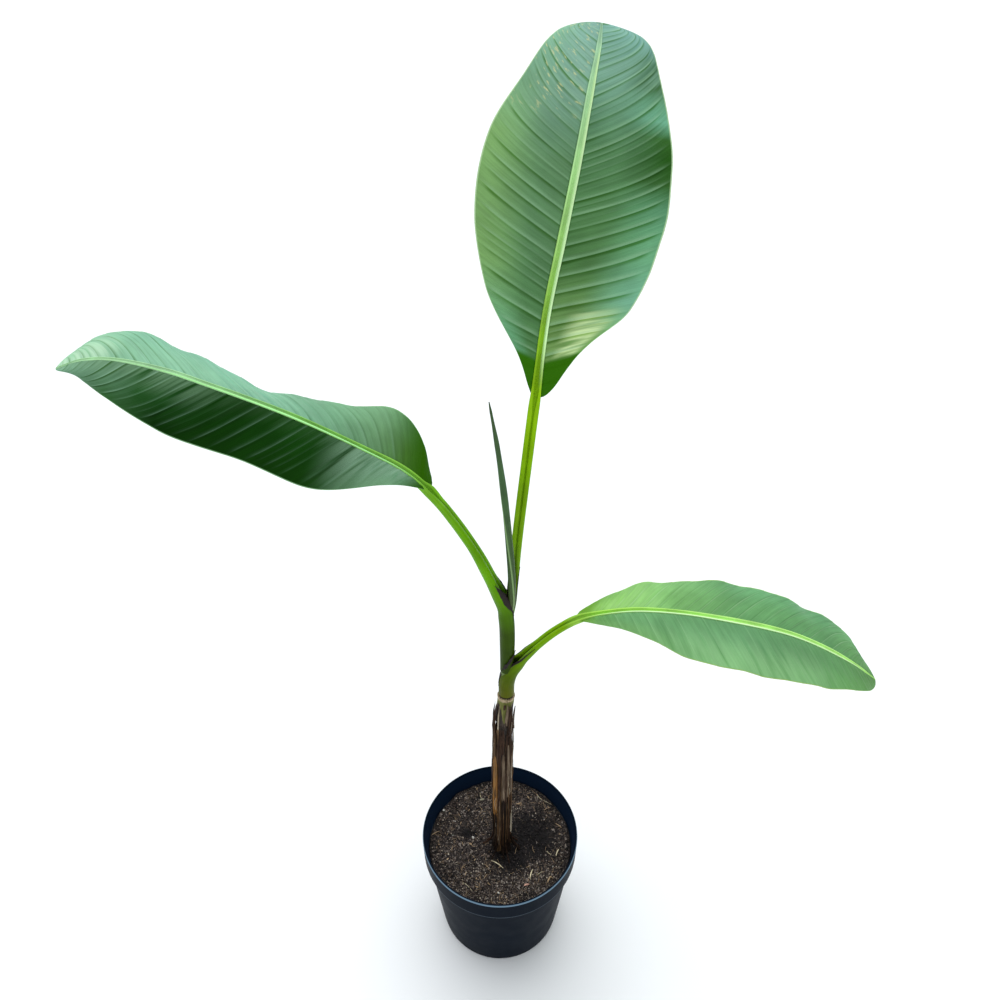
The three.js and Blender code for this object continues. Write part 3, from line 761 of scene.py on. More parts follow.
def blade_half(heap, leaf, side, rng):
    """One half of a blade as a thin shell whose rows follow the veins."""
    axis = leaf_axis(leaf)
    pleats = leaf["pleats"]
    row = np.append((np.arange(pleats)[:, None] + np.array(PLEAT_STEPS)).ravel(), pleats)[:, None]
    breadths = rng.uniform(0.85, 1.15, pleats) * np.linspace(*leaf["crowding"], pleats)
    knots = np.concatenate([[0], np.cumsum(breadths)]) / breadths.sum()
    foot = np.interp(row, np.arange(pleats + 1), knots)
    t = np.linspace(0, 1, BLADE_COLUMNS)[None, :]
    lean = np.radians(lookup(leaf[side]["lean"], foot))
    reach = half_width(leaf, side, foot) / np.tan(lean) / leaf["blade"]
    left = np.maximum(1 - foot, 1e-6)
    far = foot + left * (1 - np.exp(-reach / left))
    x = np.clip(foot + (far - foot) * (0.86 * t + 0.14 * t ** 3), 0, 1)
    width = half_width(leaf, side, x)
    inner = np.minimum(lookup(leaf["rib"], x) - 0.8, 0.6 * width) / width
    points, normals = blade_surface(leaf, axis, side, x, lerp(inner, 1, t))
    ends = smooth(x, 0, 0.06) * smooth(1 - x, 0, 0.05)
    relief = PLEAT_DEPTH * pleat_profile(row % 1) * smooth(t, 0, 0.08)
    relief = relief * (1 - 0.6 * smooth(t, 0.8, 1)) * ends
    for size, length in RIPPLES:
        wave = np.sin(2 * math.pi * leaf["blade"] * x / length + rng.uniform(0, 2 * math.pi))
        relief = relief + size * wave * t ** 2.2 * ends
    upper = points + normals * relief[..., None]
    thickness = BLADE_THICKNESS * lerp(1, 0.5, smooth(t, 0.85, 1))
    lower = upper - normals * thickness[..., None]
    marks = [marked(x.shape, row, t, SIGN[side], x, 0, face) for face in (1, 0)]
    heap.shell([upper, lower], marks=np.stack(marks))


def pleat_tone(look, row, t, side, contrast, tooth):
    """About 0 in the shade before a pleat's edge and 1 on its lit edge, unevenly from one pleat
    to the next, with a weaker edge between."""
    lot = row + side * 50.0
    tone, between = (look.ramp(look.math("FRACT", value), tooth) for value in (row, row + 0.46))
    share = look.fade(look.chance(lot + 200.0), 0.2, 1.0, 0.1, 0.45)
    drift = look.streaks(row * 0.7, t * 1.6, side, 2.0)
    swing = look.fade(look.chance(lot), 0, 1, 0.8, 1.2) * look.fade(drift, 0.3, 0.7, 0.7, 1.25)
    swing = swing * contrast * look.fade(t, 1.0, 0.8, 0.25, 1.0)
    return (look.mix(share, tone, between) - 0.5) * swing + 0.5


def painted_sheen(look, colour, rows, row, t, side, x):
    """The colour with painted sheen: pale light that lies in streaks along the veins."""
    streak = look.streaks(row * 2.2, t * 0.7, side, 2.0)
    for half, middle, spread, rise, (ebb, gone), broken, strength, tint in rows:
        amount = look.fade(abs(x - middle), spread, 0.3 * spread) * look.fade(streak, *broken)
        amount = amount * look.fade(t, *rise) * look.fade(t, gone, ebb)
        amount = amount * look.fade(side * SIGN[half], 0, 0.1)
        colour = look.mix(amount * strength, colour, tint)
    return colour


def blade_look(name, tints):
    """Waxy leaf: pleats with a painted highlight on one edge and painted shade on the other,
    ramps and streaks with painted shade and sheen, fine striations, a pale margin.
    """
    look = Look(name, 0.45, tints["gloss"])
    row, t, side, x, _, face = look.marks()
    is_plus = look.fade(side, -0.1, 0.1)
    inner, rim = (look.mix(is_plus, *(look.ramp(x, tints[half + zone]) for half in ("minus", "plus")))
                  for zone in ("", "_rim"))
    colour = look.varied(look.mix(look.fade(t, 0.3, 1.0), inner, rim), 0.14, 18)
    grown = look.fade(row, *tints["foot"])
    streak = look.streaks(row * 5.0, t * 1.3, side, 3.0, 0.6)
    colour = look.brighter(colour, look.fade(streak, 0.3, 0.7, 0.9, 1.1))
    colour = painted_sheen(look, colour, tints["painted_sheen"], row, t, side, x)
    contrast = look.fade(side, -0.1, 0.1, *tints["contrast"])
    contrast = contrast * look.fade(x, 0.55, 0.8, 1, tints["tip_contrast"])
    tone = pleat_tone(look, row, t, side, contrast * grown, tints["tooth"])
    # Painted shade on each pleat's shaded side, and a painted highlight of sheen on its lit edge.
    shaded = look.mix(1.0, colour, tints["shade"], "MULTIPLY")
    lit = look.mix(tints["sheen_share"], colour, tints["sheen"])
    colour = look.mix(look.fade(tone, 0.0, 0.5), shaded, colour)
    colour = look.mix(look.fade(tone, 0.5, 1.0), colour, lit)
    if "flecks" in tints:
        spots = look.fade(look.streaks(row * 4.0, t * 6.0), 0.58, 0.68, 0, 0.65)
        where = look.fade(x, 0.72, 0.82) * (1.0 - is_plus)
        colour = look.mix(spots * where, colour, tints["flecks"])
    colour = look.mix(look.fade(grown, 0.0, 1.0), tints["base"], colour)
    colour = look.mix(look.fade(t, 0.978, 0.995), colour, tints["margin"])
    colour = look.mix(face, look.mix(0.55, colour, tints["under"]), colour)
    fine = look.math("SINE", row * (2 * math.pi * 8))
    rough = look.fade(look.noise(look.place, 30), 0.3, 0.7, 0.4, 0.52)
    return look.finish(colour, fine * 0.35 + streak, 0.16, rough)


# ---------------- stalks and midribs


def shoulder(outer, inner, end):
    """Six points that round one end of a section, from its outer row to its inner one."""
    middle = (outer[:, end] + inner[:, end]) / 2
    arm = (outer[:, end] - inner[:, end]) / 2
    turn = np.stack([-arm[:, 1], arm[:, 0]], -1) * (1 if end else -1)
    angle = np.radians((25, 50, 75, 105, 130, 155))[:, None]
    return middle[:, None] + arm[:, None] * np.cos(angle) + 0.6 * turn[:, None] * np.sin(angle)


def stalk_section(leaf, axis, length):
    """Outer and inner rows of a stalk's section at each length, from the sheath on the stem,
    through the channelled stalk, to the midrib's tip. Their ends meet in rounded shoulders."""
    join = axis.length - leaf["blade"]
    x = np.clip((length - join) / leaf["blade"], 0, 1)
    on_blade = smooth(length, join - 16, join + 12)
    radius, hollow, half = (lookup(leaf["profile"], length, column) for column in (1, 2, 3))
    breadth = lerp(radius, lookup(leaf["rib"], x), smooth(length, join - 8, join + 16))
    depth = lerp(radius, lerp(radius + 0.8, 1.1, x ** 0.8), smooth(length, join - 10, join + 20))
    angle = np.radians(lerp(half, 97.0, on_blade))[:, None] * np.linspace(-1, 1, 29)
    outer = np.stack([breadth[:, None] * np.sin(angle), -depth[:, None] * np.cos(angle)], -1)
    flat = grid(1.0, lerp(1.0, 0.75, on_blade))[:, None]
    inner = lerp(hollow, 0.5, on_blade)[:, None, None] * outer * flat
    first, last = (shoulder(outer, inner, end) for end in (0, -1))
    outer = np.concatenate([first[:, 2::-1], outer, last[:, :3]], 1)
    inner = np.concatenate([first[:, 3:], inner, last[:, :2:-1]], 1)
    lifted = []
    for section in (outer, inner):
        across, rise = section[..., 0], section[..., 1]
        for side, sign in SIGN.items():
            slope = np.tan(np.radians(rounded(leaf[side]["lift"], x)) + CURL / 2)
            rise = rise + (on_blade * slope)[:, None] * np.maximum(sign * across, 0)
        lifted.append((across, rise + 0.35 * on_blade[:, None]))
    return lifted


def stalk_piece(name, leaf, replaced, look):
    """A leaf stalk from its sheath to the midrib's tip."""
    axis = leaf_axis(leaf)
    join = axis.length - leaf["blade"]
    lengths = np.concatenate([np.linspace(0, join, 110, endpoint=False),
                              join + leaf["blade"] * (1 - np.linspace(1, 0, 150) ** 1.3)])
    lengths[-1] = axis.length - 0.6
    lengths = lengths[:, None]
    place, up, sideways = axis.frame(lengths)
    layers = [place + across[..., None] * sideways + rise[..., None] * up
              for across, rise in stalk_section(leaf, axis, lengths[:, 0])]
    for layer in layers:
        layer[0, :, 2] = leaf["axis"][0][2]
    shape = layers[0].shape[:2]
    zone = np.where(lengths < join, lengths / join, 1 + (lengths - join) / leaf["blade"])
    marks = marked((2, *shape), zone, np.linspace(-1, 1, shape[1]), 0, lengths / 100)
    heap = Heap()
    heap.shell(layers, marks=marks)
    return heap.piece(name, [look], "stalk", replaced, sharp=50)


def stalk_look(name, stops, edge):
    """Smooth fleshy stalk with long pale and dark stripes, and a painted highlight in a bright line
    along one side of the midrib. Its zone runs to 1 at the blade's foot and to 2 at its tip."""
    look = Look(name, 0.42, 0.06)
    zone, turn, _, run, *_ = look.marks()
    colour = look.varied(look.ramp(zone * 0.5, stops), 0.14, 40)
    side, start, ebb, tint = edge
    rib_highlight = look.fade(turn * side, start, start + 0.15)
    rib_highlight = rib_highlight * (look.fade(zone, 1.02, 1.2) * look.fade(zone, 1.95, ebb))
    colour = look.mix(rib_highlight, colour, tint)
    stripes = look.streaks(turn * 9.0, run * 0.5, 0.0, 3.0, 0.6)
    colour = look.brighter(colour, look.fade(stripes, 0.25, 0.75, 0.86, 1.14))
    fine = look.streaks(turn * 34.0, run, 0.0, 2.0)
    return look.finish(colour, stripes + fine * 0.5, 0.35)


def margin_ribbons(heap, leaf, rng):
    """Dark papery edges along a sheath's opening, ragged and a little loose."""
    axis = leaf_axis(leaf)
    rows = leaf["margins"]
    lengths = np.linspace(rows[0][0], rows[-1][0], 64)[:, None]
    radius, half = (lookup(leaf["profile"], lengths, column) for column in (1, 3))
    share = np.linspace(-0.35, 1, 6)
    for side, sign in SIGN.items():
        scale = 1.0 if side == leaf["margin_side"] else 0.55
        width = scale * lookup(rows, lengths) * (0.75 + 0.5 * jagged(lengths, 5.0, rng.uniform(0, 50)))
        angle = math.pi - np.radians(half) - share * width / radius
        loose = 0.35 * np.maximum(share, 0) * np.sin(lengths / 6 + 2 * share)
        heap.shell([axis.ring(lengths, sign * angle, radius + loose + layer) for layer in (0.4, 0)])


def papery_flap(heap):
    """The dark torn edge of the right sheath, pressed round the stem's front."""
    towards = np.linspace(FLAP[0][0], FLAP[-1][0], 40)[:, None]
    share = np.linspace(-1, 1, 7)
    half = lookup(FLAP, towards, 2) * (0.8 + 0.3 * jagged(towards, 6.0, 3.0))
    z = lookup(FLAP, towards) + share * half
    radius = FLAP_RADIUS + 0.25 * np.sin(towards / 5 + 3 * share)
    heap.shell([round_stem(z, np.radians(towards), radius + layer) for layer in (0.5, 0.0)])


# ---------------- rolled leaf


def rolled_leaf(look):
    """The young leaf, rolled up: its free edge winds once round it as a low step."""
    axis = Axis(SPEAR["axis"], SPEAR["facing"])
    lengths = np.linspace(0, axis.length, 150)[:, None]
    share = lengths / axis.length
    even = np.linspace(0, 1, 54)
    turns = np.concatenate([even, [1.0, 1.0]])
    step = np.concatenate([0.86 + 0.14 * even ** 0.8, [0.98, 0.9]])
    seam = np.concatenate([0 * even, [0.012, 0.022]])
    angle = np.radians(SPEAR["turn"]) * share + 0.9 + 2 * math.pi * (0.02 + 0.94 * turns + seam)
    points = axis.ring(lengths, math.pi / 2 - angle, lookup(SPEAR["radius"], lengths) * step)
    points[0, :, 2] = SPEAR["axis"][0][2]
    heap = Heap()
    heap.limb(points, marks=marked(points.shape[:2], share, turns, 0, lengths / 100))
    return heap.piece("rolled_young_leaf", [look], "rolled_leaf", ["spear_leaf"], sharp=35)


def rolled_look():
    look = Look("rolled_leaf", 0.45, 0.2)
    share, turn, _, run, *_ = look.marks()
    stops = [(0, 60, 68, 26), (0.25, 56, 82, 40), (0.7, 58, 92, 50), (1, 56, 78, 40)]
    colour = look.varied(look.ramp(share, stops), 0.15, 60)
    lines = look.streaks(turn * 26.0, run * 1.4, 0.0, 2.0)
    colour = look.brighter(colour, look.fade(lines, 0.3, 0.7, 0.8, 1.2))
    colour = look.mix(look.fade(turn, 0.93, 0.98) * 0.6, colour, (150, 185, 120))
    return look.finish(colour, lines, 0.3)


# ---------------- stem and bark


def round_stem(z, angle, radius):
    """Points at a height, an angle and a radius round the stem. Angle 0 is the front."""
    return STEM_AXIS.ring(z - STEM_FOOT, angle, radius)


def fibre_relief(angle, z, size, height, *layers):
    """Relief of fibres that run up the stem. A layer is a depth, a fineness and a seed."""
    spots = polar(size, angle, z / height)
    return sum(depth * grain(fineness * spots, 1.0, seed) for depth, fineness, seed in layers)


def root_share(z):
    """1 at the stem's foot and 0 from the top of its root ridges on."""
    return (1 - smooth(z, STEM_FOOT, STEM["root_top"])) ** 2


def stem_piece(look):
    """The stem's core with its root ridges, and fibres in its lower part."""
    lengths = np.append(np.linspace(0, 60, 60, endpoint=False), np.linspace(60, STEM_AXIS.length, 170))
    z = STEM_AXIS.frame(lengths)[0][:, 2:]
    angle = np.linspace(0, 2 * math.pi, 120, endpoint=False)
    ridges = 0.5 + 0.5 * np.cos(STEM["root_ridges"] * angle)
    radius = lookup(STEM["radius"], z) + STEM["root_ridge_depth"] * root_share(z) * ridges
    dry = 1 - smooth(z, 470, 505)
    radius = radius + dry * (fibre_relief(angle, z, 5, 30, (0.5, 1, 0), (0.3, 3, 7)) - 0.3)
    points = STEM_AXIS.ring(lengths[:, None], math.pi / 2 - angle, radius)
    points[0, :, 2] = STEM_FOOT
    points[-1, :, 2] = STEM_TOP
    heap = Heap()
    heap.limb(points, marks=marked(points.shape[:2], points[..., 2] * MM))
    return heap.piece("stem_core", [look], "stem", ["trunk"])


def stem_look():
    look = Look("stem_core", 0.6)
    height, *_ = look.marks()
    stops = [(0.3, 30, 20, 14), (0.6, 62, 46, 34), (0.75, 98, 82, 62)]
    brown = look.ramp(look.fibres(900, 40, 4.0), stops)
    green = look.varied((84, 108, 40), 0.2, 60)
    foot, rim = STUB["foot"] * MM, STUB["top"] * MM
    colour = look.mix(look.fade(height, foot - 0.005, foot + 0.01), brown, green)
    shadow = look.fade(height, rim - 0.006, rim - 0.002) * look.fade(height, rim + 0.007, rim + 0.003)
    colour = look.mix(shadow, colour, (30, 28, 12))
    colour = look.mix(look.fade(height, 0.19, 0.166), colour, (28, 20, 15))
    return look.finish(colour, look.fibres(1500, 60, 3.0), 0.4)


def clear_radius(z):
    """Radius just outside the stem's core and the collar, where dry sheaths lie."""
    skirt = 1.2 * STEM["root_ridge_depth"] * root_share(z)
    over = (STUB["wall"] + LOOSE_GAP) * smooth(z, STUB["foot"] - 22, STUB["foot"])
    return lookup(STEM["radius"], z) + skirt + LOOSE_GAP + over


def bark_plate(heap, rng, towards, half, foot, tip, slot, raised, wall, taper, peel, fray):
    """A dry strip that lies on the stem: pointed and frayed above, with fibrous relief."""
    columns = max(5, int(half / 2.6))
    across = np.linspace(-1, 1, columns)
    crown = tip - taper * across ** 2 - fray * rng.uniform(0, 1, columns)
    hem = foot + 0.6 * fray * rng.uniform(0, 1, columns)
    v = np.linspace(0, 1, max(16, int((tip - foot) / 5)))[:, None]
    z = hem + v * (np.maximum(crown, hem + 8) - hem)
    drift = 2.5 * np.sin(z / rng.uniform(28, 45) + rng.uniform(0, 6))
    angle = np.radians(towards + half * across + drift)
    fibres = fibre_relief(angle, z, 9, 34, (0.45, 1, rng.uniform(0, 90)), (0.3, 3.1, 5))
    radius = clear_radius(z) + raised + peel * v ** 5 + 0.35 * np.abs(across) ** 3
    outside, inside = wall * (1 - 0.55 * v ** 3) + fibres, 0.25 * np.minimum(fibres, 0)
    heap.shell([round_stem(z, angle, radius + layer) for layer in (outside, inside)], slot)


def bark_look(name, tones):
    look = Look(name, 0.72, 0.1)
    streaks = look.fibres(700, 28, 5.0, 0.65)
    colour = look.varied(look.tones(streaks, (0.28, 0.5, 0.72), tones), 0.22, 55)
    return look.finish(colour, streaks + look.fibres(2200, 60, 3.0), 0.5)


def dry_bark(rng):
    """The dry sheaths of lost leaves, as plates, strips and loose threads."""
    heap = Heap()
    for towards, half, foot, tip, slot in DRY_SHEATHS:
        bark_plate(heap, rng, towards, half, foot, tip, slot, 0, 1.2, DRY_TAPER, 0, 14)
    for towards, half, foot, tip, slot, raised in FRONT_STRIPS:
        bark_plate(heap, rng, towards, half, foot, tip, slot, raised + DRY_WALL / 2, 0.8, 16, 0.6, 6)
    for _ in range(BACK_STRIPS):
        towards = rng.uniform(75, 285)
        foot = rng.uniform(172, 330)
        slot = int(rng.choice([DARK, BROWN, ORANGE, GREY, PALE], p=[0.3, 0.33, 0.12, 0.2, 0.05]))
        bark_plate(heap, rng, towards, rng.uniform(4, 13), foot, foot + rng.uniform(60, 160), slot,
                   rng.uniform(0.9, 1.5), 0.7, 20, rng.uniform(0, 0.9), 8)
    bark_plate(heap, rng, -84, 8, 380, 488, DARK, 1.3, 0.7, 30, 0.6, 4)
    for _ in range(THREADS):
        towards = math.radians(rng.uniform(0, 360))
        foot = rng.uniform(175, 420)
        z = np.linspace(foot, foot + rng.uniform(25, 70), 9)
        sway = towards + 0.12 * np.sin(z / rng.uniform(9, 16)) + rng.uniform(-0.15, 0.15)
        bow = rng.uniform(0.2, 1.0) * np.sin(np.linspace(0, math.pi, 9))
        path = round_stem(z, sway, clear_radius(z) + 2.2 + bow)
        ring = tube(path, rng.uniform(0.15, 0.4) * np.linspace(1, 0.5, 9), 4)
        heap.limb(ring, int(rng.choice([BROWN, GREY, PALE])))
    for k in range(ROOT_STRANDS):
        towards = math.radians(360 * k / ROOT_STRANDS + rng.uniform(-12, 12))
        v = np.linspace(0, 1, 14)
        z = lerp(rng.uniform(196, 232), SOIL["foot_level"] + 1.5, v ** 0.75)
        radius = clear_radius(z) + 1.6 + rng.uniform(6, 15) * v ** 2.4
        path = round_stem(z, towards + rng.uniform(-0.3, 0.3) * v, radius)
        ring = tube(path, rng.uniform(0.7, 1.5) * lerp(0.6, 1, v), 7)
        heap.limb(ring, int(rng.choice([WET, DARK, GREY], p=[0.6, 0.25, 0.15])))
    looks = [bark_look(f"bark_{name}", tones) for name, tones in BARK_COLOURS.items()]
    replaced = [f"dry_sheath_{k + 1}" for k in range(len(DRY_SHEATHS))]
    return heap.piece("dry_bark", looks, "dry_sheath", replaced, sharp=60)


def collar_piece(look, rng):
    """The stub of a cut sheath: a pale frayed rim over olive skin."""
    foot, top = STUB["foot"], STUB["top"]
    z = np.append(np.linspace(foot, top - 6, 18), np.linspace(top - 5, top, 9))[:, None]
    angle = np.radians(STUB["towards"] + STUB["half"] * np.linspace(-1, 1, 110))
    relief = fibre_relief(angle, z, 6, 22, (0.28, 1, 3), (0.2, 3, 11))
    fray = 1.2 * rng.uniform(-1, 0.4, len(angle)) * smooth(z, top - 5, top)
    rim = 0.7 * np.exp(-((z - top + 1.8) / 1.8) ** 2)
    inner = lookup(STEM["radius"], z) + LOOSE_GAP
    layers = np.stack([round_stem(z, angle, inner + layer)
                       for layer in (STUB["wall"] + relief + rim, 0 * relief)])
    layers[..., 2] += fray
    heap = Heap()
    heap.shell(layers, marks=marked(layers.shape[:3], layers[..., 2] * MM, np.abs(np.sin(1.5 * angle))))
    return heap.piece("cut_collar", [look], "cut_sheath", ["cut_sheath"], sharp=50)


def collar_look():
    """Brown below, olive skin above it that ends in three points, and a pale rim."""
    look = Look("cut_collar", 0.65, 0.35)
    height, turn, *_ = look.marks()
    streaks = look.fibres(500, 40, 4.0)
    dry = look.ramp(streaks, [(0.3, 34, 22, 14), (0.55, 58, 42, 32), (0.75, 90, 76, 62)])
    skin = look.ramp(streaks, [(0.3, 72, 76, 14), (0.55, 108, 110, 40), (0.75, 160, 150, 104)])
    rim = look.ramp(streaks, [(0.34, 92, 78, 46), (0.5, 168, 148, 116), (0.7, 206, 190, 162)])
    level = height - turn * 0.036 + streaks * 0.02 - STUB["foot"] * MM
    skin = look.mix(look.fade(level, 0.009, 0.014), dry, skin)
    top = STUB["top"] * MM
    return look.finish(look.mix(look.fade(height, top - 0.0065, top - 0.0035), skin, rim), streaks, 0.4)


# ---------------- pot


def wall_radius(z):
    """Outer radius of the pot's tapered wall at a height."""
    return lerp(POT["foot_radius"], POT["rim_radius"] - POT["band_step"], z / POT["height"])


def pot_profile():
    """The pot's section, from near the middle of its underside round to its floor."""
    height, wall, floor, lip = POT["height"], POT["wall"], POT["floor"], POT["lip"]
    rim, rounding, foot = POT["rim_radius"], POT["foot_rounding"], POT["foot_radius"]
    band = height - POT["band_height"]
    inside = wall_radius(floor + 4) - wall
    rows = [(40, 0), (78, 0)]
    rows += [(foot - rounding * (1 - math.sin(a)), rounding * (1 - math.cos(a)))
             for a in np.radians(np.linspace(0, 90, 8))]
    rows += [(wall_radius(z), z) for z in np.linspace(12, band - 2, 16)]
    rows += [(wall_radius(band - 1) + 0.05, band - 1), (wall_radius(band) + 0.3, band)]
    rows += [(rim - 1, band + 0.5), (rim - 0.6, band + 1.4)]
    rows += [(rim - 0.6 + 0.1 * k, lerp(band + 3, height - 3 * lip, k / 6)) for k in range(7)]
    rows += [(rim - lip + lip * math.cos(a), height - lip + lip * math.sin(a))
             for a in np.radians(np.linspace(0, 180, 13))]
    rows += [(wall_radius(z) - wall, z) for z in np.linspace(height - 9, floor + 5, 14)]
    rows += [(inside - 1.2, floor + 1.4), (inside - 4, floor), (78, floor), (40, floor)]
    return np.array(rows, float)


def pot_piece(look):
    """The pot as a turned shell, with its drain holes cut through the floor."""
    sides = 176
    radius, height = pot_profile().T[..., None]
    rings = polar(radius, np.linspace(0, 2 * math.pi, sides, endpoint=False), height)
    index = np.arange(radius.size * sides).reshape(-1, sides)
    middle = np.full(sides, index.size)
    foot = np.stack([middle, np.roll(index[0], -1), index[0]], -1)
    floor = np.stack([middle + 1, index[-1], np.roll(index[-1], -1)], -1)
    points = np.append(rings.reshape(-1, 3), [[0, 0, 0], [0, 0, POT["floor"]]], 0)
    heap = Heap()
    heap.add(points, [ring_faces(index), foot, floor])
    pot = heap.piece("pot_shell", [look], "pot", ["pot"], sharp=40)
    cutter = Heap()
    for k in range(POT["drains"]):
        middle = polar(POT["drain_circle"], 2 * math.pi * (k + 0.5) / POT["drains"], 0)
        path = middle + np.array([[0, 0, z] for z in (-6, 0, 6, 12)])
        cutter.limb(tube(path, POT["drain_radius"], 28))
    drains = placed("drains", cutter.mesh("drains"))
    cut = pot.modifiers.new("drains", "BOOLEAN")
    cut.operation = "DIFFERENCE"
    cut.solver = "EXACT"
    cut.object = drains
    bpy.context.view_layer.update()
    shaped = bpy.data.meshes.new_from_object(pot.evaluated_get(bpy.context.evaluated_depsgraph_get()))
    pot.modifiers.clear()
    pot.data = shaped
    bpy.data.objects.remove(drains)
    return pot


def pot_look():
    """Dull dark blue-black plastic, with dust, faint turning lines and a few scuffs, and a painted
    highlight on the lip's front and on the band's step.
    """
    look = Look("pot_plastic", 0.42, 0.02)
    colour = look.varied((3, 14, 27), 0.05, 18)
    dust = look.fade(look.noise(look.place, 90, 5.0, 0.6), 0.55, 0.75)
    colour = look.mix(dust * 0.015, colour, (96, 96, 90))
    scuffs = look.fade(look.fibres(60, 900, 2.0), 0.7, 0.78)
    colour = look.mix(scuffs * 0.04, colour, (92, 104, 112))
    x, y, height = look.parts(look.place)
    radial = look.math("SQRT", x * x + y * y)
    taper = (wall_radius(POT["height"]) - POT["foot_radius"]) / POT["height"]
    depth = radial - (height * taper + POT["foot_radius"] * MM)
    inner = look.fade(depth, -0.0008, -0.0016) * look.fade(height, 0.15, 0.16)
    colour = look.mix(inner, colour, (17, 32, 52))
    rim, top = POT["rim_radius"] * MM, POT["height"] * MM
    # Painted highlight: a pale blue band on the top of the lip, stronger towards the front.
    lip_highlight = look.fade(radial, rim - 0.0013, rim - 0.0002) * look.fade(height, top - 0.0035, top - 0.002)
    colour = look.mix(lip_highlight * look.fade(y, 0.06, -0.05, 0.22, 0.85), colour, (122, 150, 172))
    # Painted highlight: a pale line along the band's step.
    step = abs(height - (POT["height"] - POT["band_height"]) * MM)
    colour = look.mix(look.fade(step, 0.0032, 0.0018, 0, 0.5), colour, (92, 106, 118))
    rough = look.fade(look.noise(look.place, 40, 4.0), 0.3, 0.7, 0.4, 0.46)
    relief = look.fibres(8, 1400, 2.0) * 0.4 + look.noise(look.place, 900, 2.0) * 0.4
    return look.finish(colour, relief, 0.08, rough)


# ---------------- soil

STEM_SPOT = np.array(STEM["axis"][0][:2])


def soil_reach(z):
    return wall_radius(z) - POT["wall"] - SOIL["clearance"]


SOIL_RADIUS = soil_reach(SOIL["level"] - 5)


def soil_height(xy):
    """Height of the soil's top: lumps, a rise to the back, a hollow round the stem, grains."""
    x, y = xy[..., 0], xy[..., 1]
    lumps = np.sin(x / 13 + 1.1) * np.cos(y / 17) + 0.6 * np.sin((x + y) / 9)
    away = np.hypot(x - STEM_SPOT[0], y - STEM_SPOT[1])
    ready = smooth(away, SOIL["hollow_radius"], SOIL["hollow_radius"] + SOIL["hollow_slope"])
    level = SOIL["level"] + SOIL["bump"] * lumps + SOIL["back_rise"] * np.maximum(y, 0)
    spots = grid(x, y, 0)
    grains = 1.9 * grain(spots, 9.0, 2.0) + 1.3 * grain(spots, 3.6, 9.0) + 0.7 * grain(spots, 1.6, 4.0)
    return lerp(SOIL["foot_level"], level, ready) + grains * lerp(0.35, 1, smooth(away, 12, 30))


def on_soil(xy):
    return np.concatenate([xy, soil_height(xy)[..., None]], -1)


def damp(xy):
    """How wet the soil is at each place, 0 to 1."""
    return np.max([smooth(-np.hypot(xy[..., 0] - x, xy[..., 1] - y), -size, -0.45 * size)
                   for x, y, size in DAMP], axis=0)


def soil_piece(look):
    """The soil that fills the pot, with a lumpy, grainy top."""
    share = np.linspace(0, 1, 93)[1:, None] ** 0.8
    angle = np.linspace(0, 2 * math.pi, 300, endpoint=False)
    top = polar(share * SOIL_RADIUS, angle, 0)[..., :2] + STEM_SPOT * (1 - share[..., None])
    top = on_soil(top)
    top[-1, :, 2] -= 2
    foot = soil_reach(SOIL["foot"])
    under = [polar(foot, angle, SOIL["foot"]), polar(foot - 5, angle, POT["floor"] + 0.3)]
    body = np.concatenate([top, under])
    heap = Heap()
    heap.limb(body, marks=marked(body.shape[:2], damp(body)))
    return heap.piece("soil_bed", [look], "soil", ["soil"])


def soil_spots(rng, count, edge=3.0):
    """Places on the soil's top, evenly spread, clear of the stem."""
    radius = (SOIL_RADIUS - edge) * np.sqrt(rng.uniform(0, 1, count))
    xy = polar(radius, rng.uniform(0, 2 * math.pi, count), 0)[:, :2]
    return on_soil(xy[np.hypot(*(xy - STEM_SPOT).T) > 15])


def soil_slot(rng, spot, slots):
    """One of the slots, and mostly the first one on damp soil."""
    return slots[0] if rng.uniform() < 0.85 * damp(spot) else int(rng.choice(slots))


def icosahedron():
    """The corners and the faces of a round body of twenty triangles."""
    golden = (1 + math.sqrt(5)) / 2
    corners = [(0, s, t * golden) for s in (1, -1) for t in (1, -1)]
    corners = unit(np.array([np.roll(c, k) for k in range(3) for c in corners], float))
    faces = []
    for a, b, c in combinations(range(12), 3):
        p, q, r = corners[[a, b, c]]
        if max(np.linalg.norm(side) for side in (p - q, q - r, r - p)) < 1.06:
            faces.append((a, b, c) if np.cross(q - p, r - p) @ p > 0 else (a, c, b))
    return corners, np.array(faces)


def crumbs(heap, rng, spots, sizes, slots, squash=(0.5, 1.0), sink=0.25):
    """Rough little lumps on the soil: the first slot where it is damp, the last ones in front."""
    corners, faces = icosahedron()
    for spot, share, light in zip(spots, damp(spots), smooth(-spots[:, 1], 10, 80)):
        size = rng.uniform(*sizes) * rng.uniform(0.6, 1)
        slot = int(rng.choice(slots))
        if rng.uniform() < 0.8 * light:
            slot = int(rng.choice(slots[-2:]))
        if rng.uniform() < 0.94 * share:
            slot = slots[0]
        shape = corners * rng.uniform(0.72, 1.2, (12, 1)) * rng.uniform(0.7, 1.25, 3)
        shape = shape @ random_turn(rng) * (size / 2)
        shape[:, 2] *= rng.uniform(*squash)
        heap.add(spot + [0, 0, size * (0.5 - sink) * 0.5] + shape, faces, slot)


def random_turn(rng, flatness=(1, 1, 1)):
    return np.linalg.qr(rng.normal(size=(3, 3)) * np.array(flatness))[0]


def laid(middle, length, turn, v, bow):
    """Places along a bowed line on the ground, v being -0.5 at one end and 0.5 at the other."""
    heading = np.array([math.cos(turn), math.sin(turn)])
    side = np.array([-heading[1], heading[0]])
    return middle + length * v[:, None] * heading + (bow * length * (1 - 4 * v * v))[:, None] * side


